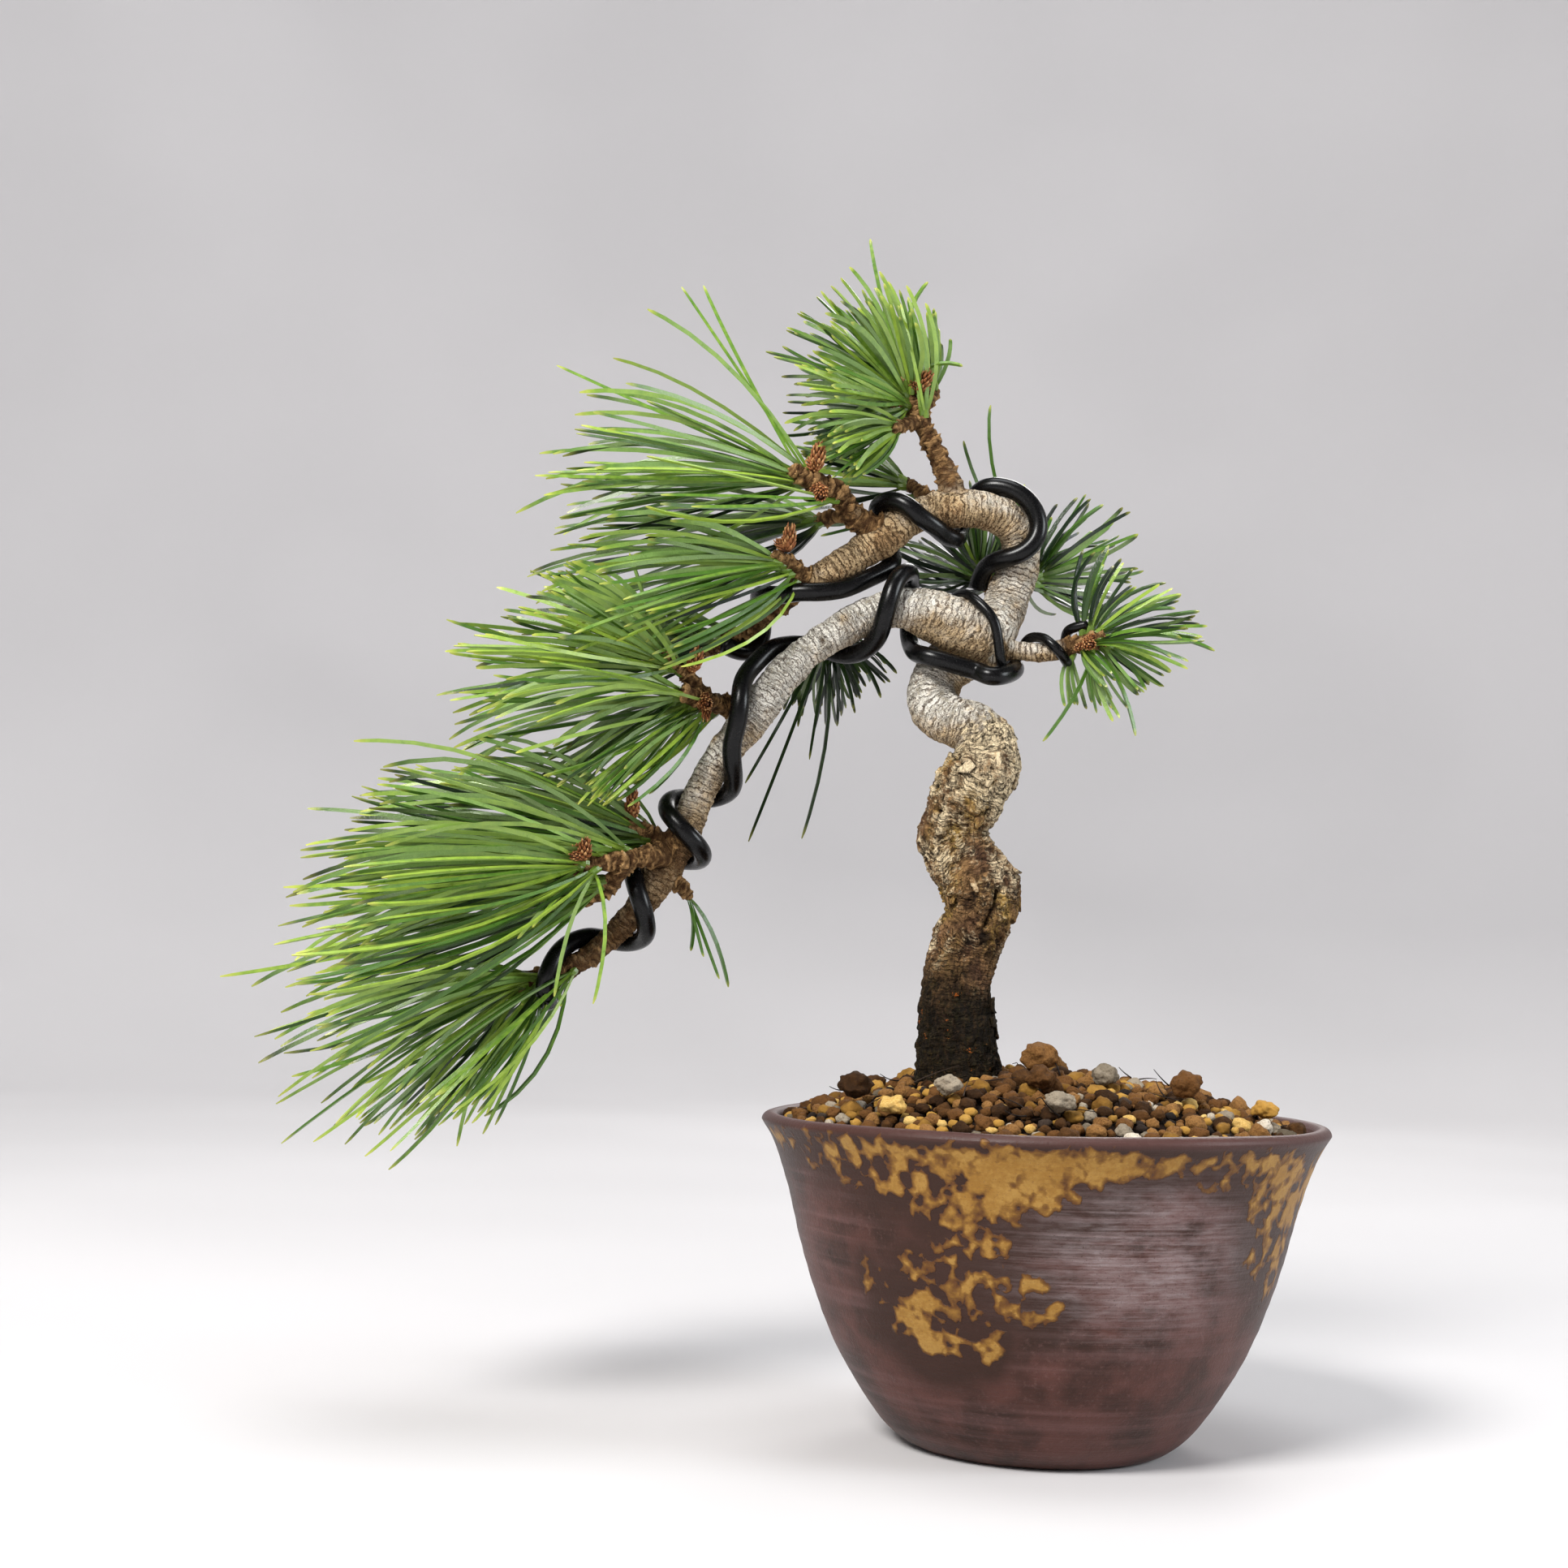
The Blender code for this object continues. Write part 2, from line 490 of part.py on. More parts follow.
def limb_at(name, station):
    """Find the centre, radius and direction of a limb at a fractional point number."""
    fine = LIMB_MEASURE_STEPS
    path = smooth_points(limb_points(name), fine)
    index = min(max(station * fine, 0.0), len(path) - 1.0)
    low = min(int(index), len(path) - 2)
    share = index - low
    place = path[low] * (1 - share) + path[low + 1] * share
    before = path[max(low - fine // 4, 0)]
    after = path[min(low + 1 + fine // 4, len(path) - 1)]
    heading = (after - before)[:3]
    return place[:3], place[3], heading / np.linalg.norm(heading)


def tube_curve(name, rows, roundness, collection):
    """Draw a closed tube through (x, y, z, radius) rows."""
    curve = bpy.data.curves.new(name, "CURVE")
    curve.dimensions = "3D"
    curve.resolution_u = 1
    curve.render_resolution_u = 0
    curve.bevel_depth = MM
    curve.bevel_resolution = roundness
    curve.use_fill_caps = True
    spline = curve.splines.new("POLY")
    spline.points.add(len(rows) - 1)
    for point, (x, y, z, radius) in zip(spline.points, rows):
        point.co = (x * MM, y * MM, z * MM, 1.0)
        point.radius = radius
    obj = bpy.data.objects.new(name, curve)
    collection.objects.link(obj)
    return obj


def tube_solid(name, rows, roundness, collection):
    """Draw a closed tube and turn it into a welded mesh."""
    source = tube_curve(name + "_line", rows, roundness, collection)
    bpy.context.view_layer.update()
    depsgraph = bpy.context.evaluated_depsgraph_get()
    mesh = bpy.data.meshes.new_from_object(source.evaluated_get(depsgraph))
    mesh.name = name
    shape = bmesh.new()
    shape.from_mesh(mesh)
    bmesh.ops.remove_doubles(shape, verts=shape.verts, dist=TUBE_WELD * MM)
    shape.to_mesh(mesh)
    shape.free()
    obj = bpy.data.objects.new(name, mesh)
    collection.objects.link(obj)
    obj.matrix_world = source.matrix_world
    bpy.data.objects.remove(source, do_unlink=True)
    return obj


def root_rows(number, extra):
    """List the points of one root, stopped short of the pot and grown thicker by a given gap."""
    base, base_radius, _ = limb_at("trunk", ROOT_STATION)
    turn = math.tau * (number + ROOT_FIRST_TURN) / ROOT_COUNT
    heading = np.array((math.cos(turn), math.sin(turn)))
    start = ROOT_START_SHARE * base_radius
    wall = pot_inner_radius(base[2] - ROOT_DROP) - ROOT_POT_GAP
    along = base[:2].dot(heading)
    to_wall = math.sqrt(along ** 2 - base[:2].dot(base[:2]) + wall ** 2) - along
    end = min(start + ROOT_LENGTH, to_wall)
    spread = (ROOT_BURIED_SHARE * base_radius, start, (start + end) / 2, end)
    drop = (0.0, 0.0, ROOT_BEND_DROP * ROOT_DROP, ROOT_DROP)
    width = (ROOT_RADIUS, ROOT_RADIUS, ROOT_BEND_WIDTH * ROOT_RADIUS, ROOT_TIP_RADIUS)
    rows = []
    for out, down, radius in zip(spread, drop, width):
        rows.append((base[0] + out * heading[0], base[1] + out * heading[1],
                     base[2] - down, radius + extra))
    return rows


def extend_end(rows, length):
    """Lengthen a tube past its first and last points."""
    rows = np.array(rows, dtype=float)
    for end, inner in ((0, 1), (-1, -2)):
        heading = rows[end, :3] - rows[inner, :3]
        rows[end, :3] += heading / np.linalg.norm(heading) * length
    return rows


def build_wood(collection, limb_parts, sockets):
    """Grow the trunk, its roots and its branches as one solid, and the room it takes in the soil."""
    trunk = None
    for name in LIMBS:
        rows = smooth_points(limb_points(name), LIMB_STEPS)
        if name == "trunk":
            trunk = tube_solid("trunk_and_branches", rows, THICK_TUBE_ROUNDNESS, collection)
            continue
        roundness = THICK_TUBE_ROUNDNESS if name in THICK_LIMBS else THIN_TUBE_ROUNDNESS
        as_cutter(tube_solid("limb_" + name, rows, roundness, limb_parts))
    for number in range(ROOT_COUNT):
        rows = smooth_points(root_rows(number, 0.0), LIMB_STEPS)
        as_cutter(tube_solid(f"root_{number}", rows, THIN_TUBE_ROUNDNESS, limb_parts))
        wide = smooth_points(extend_end(root_rows(number, CLEARANCE), CLEARANCE), LIMB_STEPS)
        as_cutter(tube_solid(f"root_room_{number}", wide, THIN_TUBE_ROUNDNESS, sockets))
    foot = limb_points("trunk")[:BURIED_TRUNK_POINTS]
    foot[:, 3] += CLEARANCE
    rows = smooth_points(extend_end(foot, CLEARANCE), LIMB_STEPS)
    as_cutter(tube_solid("trunk_room", rows, THICK_TUBE_ROUNDNESS, sockets))
    trunk.data.materials.append(make_material("trunk_and_branches", "bark"))
    add_boolean(trunk, "UNION", limb_parts)


# ---------------------------------------------------------------- training wire

def wire_key_place(key, wire_radius):
    """Find where one key of a wire lies: on its limb's skin, at its angle."""
    limb, station, degrees, stand_off = key
    centre, radius, heading = limb_at(limb, station)
    front = np.array((0.0, -1.0, 0.0))
    front = front - heading * front.dot(heading)
    front /= np.linalg.norm(front)
    side = np.cross(heading, front)
    turn = math.radians(degrees)
    outward = front * math.cos(turn) + side * math.sin(turn)
    return centre + outward * (radius + wire_radius + CLEARANCE + stand_off)


def wire_rows(keys, wire_radius):
    """List the points of a wire wound round its limbs."""
    places = []
    for start, end in zip(keys, keys[1:]):
        same = start[0] == end[0]
        steps = max(1, math.ceil(abs(end[2] - start[2]) / WIRE_STEP_DEGREES)) if same else 1
        for step in range(steps):
            share = step / steps
            between = [a * (1 - share) + b * share for a, b in zip(start[1:], end[1:])]
            places.append(wire_key_place((start[0], *between), wire_radius))
    places.append(wire_key_place(keys[-1], wire_radius))
    return [(*place, wire_radius) for place in places]


def build_wires(collection):
    """Wind the three training wires; return their points for the needles to keep clear of."""
    wires = {
        "training_wire_cascade": (CASCADE_WIRE, THICK_WIRE_RADIUS, THICK_TUBE_ROUNDNESS),
        "training_wire_apex": (APEX_WIRE, THICK_WIRE_RADIUS, THICK_TUBE_ROUNDNESS),
        "training_wire_right": (RIGHT_WIRE, THIN_WIRE_RADIUS, THIN_TUBE_ROUNDNESS),
    }
    taken = []
    for name, (keys, radius, roundness) in wires.items():
        rows = wire_rows(keys, radius)
        wire = tube_curve(name, rows, roundness, collection)
        wire.data.materials.append(make_material(name, "black_wire"))
        taken.append(smooth_points(rows, WIRE_ROOM_STEPS))
    return taken


# ---------------------------------------------------------------- needles and buds

def tuft_centre(limb):
    """Find the centre of the tuft that grows off a limb's end."""
    place, _, heading = limb_at(limb, len(LIMBS[limb]) - 1)
    return place + heading * (HUB_RADIUS + CLEARANCE)


def fan_directions(axis, pull):
    """Spread directions evenly over a sphere, then draw them towards an axis."""
    directions = []
    for number in range(TUFT_DIRECTIONS):
        height = 1.0 - 2.0 * (number + 0.5) / TUFT_DIRECTIONS
        ring = math.sqrt(1.0 - height * height)
        turn = number * GOLDEN_ANGLE
        direction = np.array((ring * math.cos(turn), ring * math.sin(turn), height)) + pull * axis
        directions.append(direction / np.linalg.norm(direction))
    return directions


def free_length(centre, direction, wanted, taken):
    """Find how far a needle can grow before it comes near anything already there."""
    length = NEEDLE_STEP
    while length < wanted:
        place = centre + direction * length
        width = NEEDLE_HALF_WIDTH * (1.0 - length / wanted) + NEEDLE_CLEARANCE
        gaps = np.linalg.norm(taken[:, :3] - place, axis=1) - taken[:, 3]
        if gaps.min() < width:
            break
        length += NEEDLE_STEP
    return length - NEEDLE_STEP


def build_tuft(name, centre, taken, collection):
    """Grow one tuft of needles as a single spiky solid; return the room its needles take."""
    _, axis, half_angle, reach = TUFTS[name]
    axis = np.array(axis, dtype=float)
    axis /= np.linalg.norm(axis)
    cosine = math.cos(math.radians(half_angle))
    shape = bmesh.new()
    for direction in fan_directions(axis, FAN_PULL):
        shape.verts.new(direction)
    bmesh.ops.convex_hull(shape, input=shape.verts)
    grown = []
    needles = set()
    for vert in shape.verts:
        direction = np.array(vert.co)
        length = HUB_RADIUS
        closeness = direction.dot(axis)
        beside_needle = any(edge.other_vert(vert) in needles for edge in vert.link_edges)
        if closeness > cosine and not beside_needle:
            wanted = NEEDLE_SCALE * reach * (SIDE_NEEDLE_SHARE + AXIS_NEEDLE_SHARE * closeness)
            room = free_length(centre + direction * HUB_RADIUS, direction, wanted, taken)
            if room > SHORTEST_NEEDLE:
                needles.add(vert)
                length = HUB_RADIUS + room
                for step in np.arange(HUB_RADIUS, length, NEEDLE_STEP):
                    place = centre + direction * step
                    grown.append((*place, NEEDLE_HALF_WIDTH * (1.0 - step / length)))
        vert.co *= length * MM
    mesh = bpy.data.meshes.new(name)
    shape.to_mesh(mesh)
    shape.free()
    tuft = add_mesh(name, mesh, collection, "needle")
    tuft.location = Vector(centre) * MM
    return grown


def bud_pose(name):
    """Find a bud's foot, direction and length."""
    limb, station, direction, length = BUDS[name]
    place, radius, _ = limb_at(limb, station)
    axis = np.array(direction, dtype=float)
    axis /= np.linalg.norm(axis)
    return place + axis * (radius + BUD_GAP), axis, length


def build_bud(name, collection):
    """Make one pointed bud standing on its twig."""
    foot, axis, length = bud_pose(name)
    shape = bmesh.new()
    bmesh.ops.create_uvsphere(shape, u_segments=BUD_SEGMENTS, v_segments=BUD_RINGS + 1, radius=0.5)
    for vert in shape.verts:
        share = vert.co.z + 0.5
        taper = 1.0 - BUD_TAPER * share
        vert.co = Vector((vert.co.x * 2 * BUD_RADIUS_SHARE * taper,
                          vert.co.y * 2 * BUD_RADIUS_SHARE * taper, share)) * length * MM
    mesh = bpy.data.meshes.new(name)
    shape.to_mesh(mesh)
    shape.free()
    bud = add_mesh(name, mesh, collection, "bud_scale")
    bud.location = Vector(foot) * MM
    bud.rotation_mode = "QUATERNION"
    bud.rotation_quaternion = Vector(axis).to_track_quat("Z", "Y")


def build_foliage(collection, wire_room):
    """Grow the buds, then every tuft clear of the wood, the wires, the buds and each other."""
    taken = [row for rows in wire_room for row in rows]
    for name in LIMBS:
        taken.extend(smooth_points(limb_points(name), LIMB_ROOM_STEPS))
    for name in BUDS:
        build_bud(name, collection)
        foot, axis, length = bud_pose(name)
        for share in BUD_ROOM_SHARES:
            taken.append((*(foot + axis * length * share), BUD_RADIUS_SHARE * length))
    centres = {name: tuft_centre(spec[0]) for name, spec in TUFTS.items()}
    hubs = {name: (*centre, HUB_RADIUS) for name, centre in centres.items()}
    for name, centre in centres.items():
        others = [hub for other, hub in hubs.items() if other != name]
        taken.extend(build_tuft(name, centre, np.array(taken + others), collection))


def main():
    """Build the whole plant in its pot."""
    clear_scene()
    collection = make_collection(OBJECT_NAME)
    cutters = make_collection("cutters")
    limb_parts = make_collection("limb_parts")
    sockets = make_collection("root_rooms")
    build_pot(collection, cutters)
    build_drain_mesh(collection, cutters)
    build_wood(collection, limb_parts, sockets)
    build_soil(collection, sockets)
    build_grains(collection)
    build_foliage(collection, build_wires(collection))


main()
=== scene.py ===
"""Looks of the wired five-needle pine in its stoneware pot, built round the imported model."""

import logging
import math
from dataclasses import dataclass, field
from enum import Enum
from typing import Sequence, Union

import bmesh
import bpy
import numpy as np
from bpy.types import Material, Mesh, Node, NodeSocket, Object
from mathutils import Matrix, Vector, kdtree, noise


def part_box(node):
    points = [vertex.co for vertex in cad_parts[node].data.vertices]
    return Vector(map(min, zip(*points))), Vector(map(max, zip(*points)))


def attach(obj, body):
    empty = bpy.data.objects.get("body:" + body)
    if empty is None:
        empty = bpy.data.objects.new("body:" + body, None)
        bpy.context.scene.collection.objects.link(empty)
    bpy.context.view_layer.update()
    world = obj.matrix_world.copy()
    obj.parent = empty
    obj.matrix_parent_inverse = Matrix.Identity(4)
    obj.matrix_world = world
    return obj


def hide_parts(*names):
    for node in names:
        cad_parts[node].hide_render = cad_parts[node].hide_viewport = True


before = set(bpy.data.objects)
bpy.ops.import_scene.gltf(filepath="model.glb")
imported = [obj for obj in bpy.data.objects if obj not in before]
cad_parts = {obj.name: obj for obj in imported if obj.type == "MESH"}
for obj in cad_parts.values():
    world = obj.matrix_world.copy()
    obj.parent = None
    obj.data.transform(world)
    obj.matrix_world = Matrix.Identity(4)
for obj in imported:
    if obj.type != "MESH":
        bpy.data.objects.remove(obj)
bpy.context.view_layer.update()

LOG = logging.getLogger("pine")
MM = 0.001
ROOT_BODY = "root"
# Rim height that the limbs' points are given for; they move up or down with the pot's own rim
PLANTING_RIM_HEIGHT = 58.8
GOLDEN_ANGLE = math.pi * (3.0 - math.sqrt(5.0))
GOLDEN_SHARE = 0.618034
NEEDLES_IN_BUNDLE = 5
FRONT = (0.0, -1.0, 0.0)
THICK_LIMBS = ("trunk", "cascade", "apex")
# How far a tube's two ends bulge, as shares of its radius there
START_DOME = 0.3
END_DOME = 0.5

# Limbs: points (x, y, z, radius) in millimetres, from the root end outwards
LIMBS = {
    "trunk": ((-15, 0, 50, 9.2), (-15, 0, 58, 9.2), (-15.6, 0, 66.5, 7.9), (-16.4, 0, 75, 7.2),
              (-16.4, 0, 83.5, 6.5), (-15.2, 0, 89.5, 6.3), (-12.8, -1, 95, 6.4), (-12.2, -1, 99, 6.8),
              (-14.7, 0, 103.5, 6.8), (-17.6, 1, 108, 6.5), (-17.4, 1, 113, 6.4), (-15.1, 0, 118, 7.0),
              (-13, -1, 122.6, 6.9), (-12.9, -2, 126.6, 6.0), (-15, -2, 129.8, 5.2),
              (-18.6, -1, 131.2, 4.6), (-22, 1, 133.6, 4.6), (-22.6, 3, 137.5, 4.7),
              (-20.3, 4, 141.5, 4.9), (-16.4, 3, 144.8, 5.2), (-13.2, 1, 147, 5.4)),
    "cascade": ((-13.2, 1, 146.4, 5.4), (-16.8, -1, 148.2, 5.2), (-21.5, -2, 150.3, 4.8),
                (-26, -2, 151.5, 4.1), (-30.6, -2, 151.8, 3.7), (-35.8, -2, 149.8, 3.5),
                (-41.8, -3, 146.1, 3.3), (-47, -3, 142.2, 3.2), (-51.3, -4, 137.4, 3.3),
                (-54.8, -4, 132.1, 3.5), (-58.7, -4, 126.6, 3.2), (-62.7, -3, 121, 2.9),
                (-65.5, -3, 114.8, 2.9), (-67.4, -3, 109.5, 3.0), (-69.9, -3, 104.6, 3.4),
                (-72.6, -3, 99.2, 3.0), (-75.9, -3, 94.3, 2.6), (-79.8, -2, 89.7, 2.2),
                (-85, -2, 85, 2.0), (-89.7, -2, 82.2, 1.9), (-94.9, -1, 80.7, 1.8),
                (-99.5, 0, 79.5, 1.5)),
    "apex": ((-13.2, 1, 146.7, 5.0), (-9.9, 4, 151.8, 4.3), (-8.1, 6, 157, 4.0),
             (-6.4, 6, 162.5, 3.8), (-6.6, 5, 167, 3.6), (-9.2, 3, 170.2, 3.5),
             (-13.5, 1, 171.4, 3.4), (-18.9, 0, 171.5, 3.8), (-23.5, 0, 171.2, 3.1),
             (-28, 0, 169.1, 3.0), (-31.3, -1, 166.5, 3.6), (-36.9, -1, 162.2, 3.1),
             (-40.7, -2, 159.4, 2.9), (-44.4, -2, 157.1, 2.6), (-48.1, -1, 155.2, 2.2),
             (-51.5, 1, 152.3, 1.9), (-54.8, 3, 149.9, 1.9), (-58.5, 5, 147.3, 1.8),
             (-62.3, 6, 145.3, 1.6), (-66, 7, 143.7, 1.3)),
    "leader": ((-19, 0, 171.5, 2.6), (-20.6, 0, 176.4, 2.3), (-22.2, 0, 180.2, 2.1),
               (-24.3, 0, 184.3, 1.9), (-26.4, 0, 188, 1.8), (-28, 0, 191, 1.7),
               (-29.1, -1, 194, 1.4), (-30.3, -2, 196.5, 1.2)),
    "leader_back": ((-27.5, 0, 190, 1.5), (-30.2, 4, 191, 1.3), (-32.4, 8, 191.6, 1.0)),
    "leader_right": ((-27, 0, 189, 1.5), (-24.6, 3, 192.5, 1.2), (-23.2, 5, 195.2, 0.9)),
    "leader_low": ((-26.4, 0, 188, 1.5), (-29.4, -4, 186.2, 1.2), (-32, -7, 184.6, 1.0)),
    "upper_left": ((-32, -1, 166, 2.9), (-36.9, -2, 168.1, 2.3), (-39.6, -4, 170.2, 2.1),
                   (-41.5, -6, 172.5, 2.0), (-44.3, -8, 173.5, 1.9), (-47.5, -10, 173.9, 1.7),
                   (-50.2, -12, 175.2, 1.3)),
    "upper_left_spur": ((-38.5, -4, 169.3, 1.6), (-42.8, -1.5, 168.6, 1.4), (-46, 2, 168.4, 1.1)),
    "mid_left_spur": ((-46, -1.5, 156.2, 1.8), (-49.2, -5, 158.6, 1.5), (-53, -8, 160.2, 1.2)),
    "knot_shoot": ((-21.5, 0, 171.3, 1.6), (-25.4, 4.5, 175.2, 1.4), (-28.4, 8, 178, 1.1)),
    "outer_spur": ((-55, -2, 132.4, 2.4), (-59.8, 0.5, 132.8, 2.0), (-63.4, -2, 133, 1.9),
                   (-66.4, -6, 133.2, 1.8), (-68.6, -9.5, 133.8, 1.5)),
    "outer_spur_up": ((-64.5, -3.5, 133, 1.6), (-67.2, -6, 136.4, 1.4), (-70.5, -10, 139, 1.2),
                      (-73.5, -13, 140.8, 1.0)),
    "crown_high": ((-69, -3, 106, 1.9), (-73.4, -4.5, 108, 1.6), (-77, -5, 109.4, 1.4),
                   (-80, -5, 110.2, 1.1)),
    "crown_mid": ((-69.6, -3, 104.6, 2.3), (-74.5, -9, 103.6, 2.0), (-79, -12.5, 102.6, 1.8),
                  (-83.6, -14, 101.6, 1.6), (-88.5, -15, 101.2, 1.3)),
    "crown_low": ((-77.5, -11.5, 102.8, 1.7), (-80.2, -10.5, 98.6, 1.6), (-83.6, -9.5, 96, 1.4),
                  (-87.2, -8.5, 94.8, 1.1)),
    "crown_stub": ((-71.4, -3, 101.6, 2.0), (-68.2, 0, 98.8, 1.4), (-66.6, 2.2, 97, 1.0)),
    "right": ((-13.2, 1, 146.2, 2.8), (-8.9, 1, 145.2, 1.9), (-5.1, 1, 145, 1.7), (-0.7, 0, 145, 1.8),
              (2.4, 0, 146, 1.9), (6, -1, 147, 1.8), (9.2, -2, 147.4, 1.5)),
    "back_right": ((-7.8, 6, 158.8, 2.2), (-4.4, 11.5, 160.2, 1.6), (-2.4, 16.5, 161.6, 1.1)),
    "back_left": ((-9, 5, 154.5, 2.0), (-11.4, 13.5, 159.8, 1.5), (-13.2, 20, 163.2, 1.1)),
    "arch_back": ((-38.5, -2.5, 148.2, 2.0), (-41.6, 5, 147.6, 1.5), (-43.4, 11, 146.8, 1.1)),
}

# Bark age along a limb, as (share of its points, age): 2 old flaky, 1 smooth and pale, 0 scaly shoot
BARK_AGES = {
    "trunk": ((0.0, 2.0), (0.6, 2.0), (0.68, 1.34), (0.75, 1.05), (1.0, 1.0)),
    "cascade": ((0.0, 1.0), (0.42, 1.0), (0.56, 0.8), (0.64, 0.45), (0.72, 0.55), (1.0, 0.3)),
    "apex": ((0.0, 1.0), (0.45, 0.95), (0.5, 0.7), (0.56, 0.8), (0.7, 0.6), (0.8, 0.3), (1.0, 0.1)),
    "leader": ((0.0, 0.65), (0.15, 0.42), (0.6, 0.2), (1.0, 0.0)),
    "right": ((0.0, 1.0), (0.5, 0.8), (0.7, 0.3), (1.0, 0.0)),
}
TWIG_AGES = ((0.0, 0.45), (0.4, 0.2), (1.0, 0.0))
# How brown the smooth bark is along a limb, from 0 pale grey to 1 tan
BARK_WARMTH = {
    "trunk": ((0.0, 0.5), (0.7, 0.45), (0.8, 0.25), (1.0, 0.4)),
    "cascade": ((0.0, 0.6), (0.1, 0.5), (0.18, 0.12), (0.42, 0.08), (0.55, 0.5), (0.65, 0.9),
                (1.0, 1.0)),
    "apex": ((0.0, 0.5), (0.1, 0.45), (0.25, 0.5), (0.36, 0.7), (0.5, 0.85), (1.0, 1.0)),
    "right": ((0.0, 0.4), (0.4, 0.5), (1.0, 1.0)),
}
TWIG_WARMTH = ((0.0, 0.8), (1.0, 1.0))
LIMB_PARENTS = {"cascade": "trunk", "apex": "trunk", "right": "trunk"}

# Wires: for each limb followed, (point number along it, angle round it, stand-off)
WIRE_KEYS = {
    "training_wire_cascade": (
        ("cascade", (
            (0.25, -48, 0.6), (1.0, -60, 1.0), (2.0, -72, 1.6), (2.6, -92, 1.3), (3.1, -140, 0.8),
            (3.35, -205, 0.5), (3.5, -270, 1.2), (4.2, -360, 0), (5.4, -450, 0), (6.4, -540, 0),
            (7.4, -615, 0), (8.1, -640, 0), (8.6, -665, 0.8), (9.2, -692, 1.5), (10.2, -725, 0),
            (11.2, -800, 0), (11.8, -880, 0), (12.3, -975, 0), (12.7, -1015, 0), (13.1, -1070, 0),
            (13.5, -1155, 0), (14.0, -1240, 0), (14.8, -1340, 0), (15.6, -1425, 0), (16.3, -1510, 0),
            (17.0, -1580, 0), (17.6, -1670, 0), (18.4, -1720, 0), (19.0, -1765, 0),
            (19.4, -1820, 0.4), (19.6, -1890, 0.8))),
    ),
    "training_wire_apex": (
        ("apex", (
            (1.9, -105, 0.2), (2.5, -75, 0.3), (3.3, -10, 0), (4.3, 35, 0), (5.2, 72, 0),
            (6.0, 110, 0), (6.5, 180, 0), (7.0, 262, 0), (7.8, 285, 0), (8.6, 335, 0), (9.3, 400, 0),
            (9.7, 450, 0), (10.0, 530, 0), (10.5, 612, 0), (11.2, 640, 0), (12.4, 655, 0),
            (13.5, 690, 0), (14.5, 730, 0), (15.5, 800, 0), (16.3, 890, 0), (17.0, 980, 0),
            (17.8, 1065, 0))),
    ),
    "training_wire_right": (
        ("cascade", (
            (1.9, 150, 0), (1.7, 100, 0), (1.4, 60, 0), (0.7, 26, 0.8))),
        ("right", (
            (0.8, 30, 3.6), (1.3, 92, 0.3), (1.7, 180, 0), (2.1, 268, 0), (2.7, 295, 0),
            (3.3, 365, 0), (3.7, 450, 0), (3.9, 540, 0), (4.2, 625, 0.2), (5.1, 632, 0.2))),
    ),
}
WIRE_RADII = {"training_wire_cascade": 1.75, "training_wire_apex": 1.75, "training_wire_right": 0.95}
# Start of a wire before its first key, as (x, y, z): it comes out from behind the knee
WIRE_LEADS = {
    "training_wire_cascade": ((-10.0, 8.5, 144.5), (-7.6, 5.5, 143.0), (-7.2, 0.5, 141.6),
                              (-9.0, -4.2, 140.0), (-12.4, -6.8, 139.0)),
    "training_wire_apex": (),
    "training_wire_right": (),
}

Number = Union[float, "Value"]


# ---- shader language

def srgb(red: float, green: float, blue: float) -> tuple[float, float, float, float]:
    """Turn a display colour of 0 to 255 into a linear one.

    Args:
        red: Red of the display colour.
        green: Green of the display colour.
        blue: Blue of the display colour.

    Returns:
        The linear colour with full alpha.
    """
    parts = []
    for part in (red, green, blue):
        share = part / 255.0
        parts.append(share / 12.92 if share <= 0.04045 else ((share + 0.055) / 1.055) ** 2.4)
    return (parts[0], parts[1], parts[2], 1.0)


class Value:
    """A number socket of a shader that can be used in sums."""

    def __init__(self, paint: "Paint", socket: NodeSocket) -> None:
        """Hold the socket and the material it belongs to."""
        self.paint = paint
        self.socket = socket

    def math(self, operation: str, *others: Number) -> "Value":
        """Add a Math node with this value as its first operand."""
        return self.paint.math(operation, self, *others)

    def __add__(self, other: Number) -> "Value":
        """Add."""
        return self.math("ADD", other)

    __radd__ = __add__

    def __sub__(self, other: Number) -> "Value":
        """Subtract."""
        return self.math("SUBTRACT", other)

    def __rsub__(self, other: Number) -> "Value":
        """Subtract from a number."""
        return self.paint.math("SUBTRACT", other, self)

    def __mul__(self, other: Number) -> "Value":
        """Multiply."""
        return self.math("MULTIPLY", other)

    __rmul__ = __mul__

    def __truediv__(self, other: Number) -> "Value":
        """Divide."""
        return self.math("DIVIDE", other)

    def most(self, other: Number) -> "Value":
        """Take the larger."""
        return self.math("MAXIMUM", other)

    def rise(self, low: float, high: float) -> "Value":
        """Rise smoothly from 0 at low to 1 at high.

        Args:
            low: Where the result is 0.
            high: Where the result is 1.

        Returns:
            The smooth step.
        """
        settings = {"interpolation_type": "SMOOTHSTEP"}
        sockets = {"Value": self, "From Min": low, "From Max": high, "To Min": 0.0, "To Max": 1.0}
        return Value(self.paint, self.paint.node("ShaderNodeMapRange", settings, sockets).outputs[0])


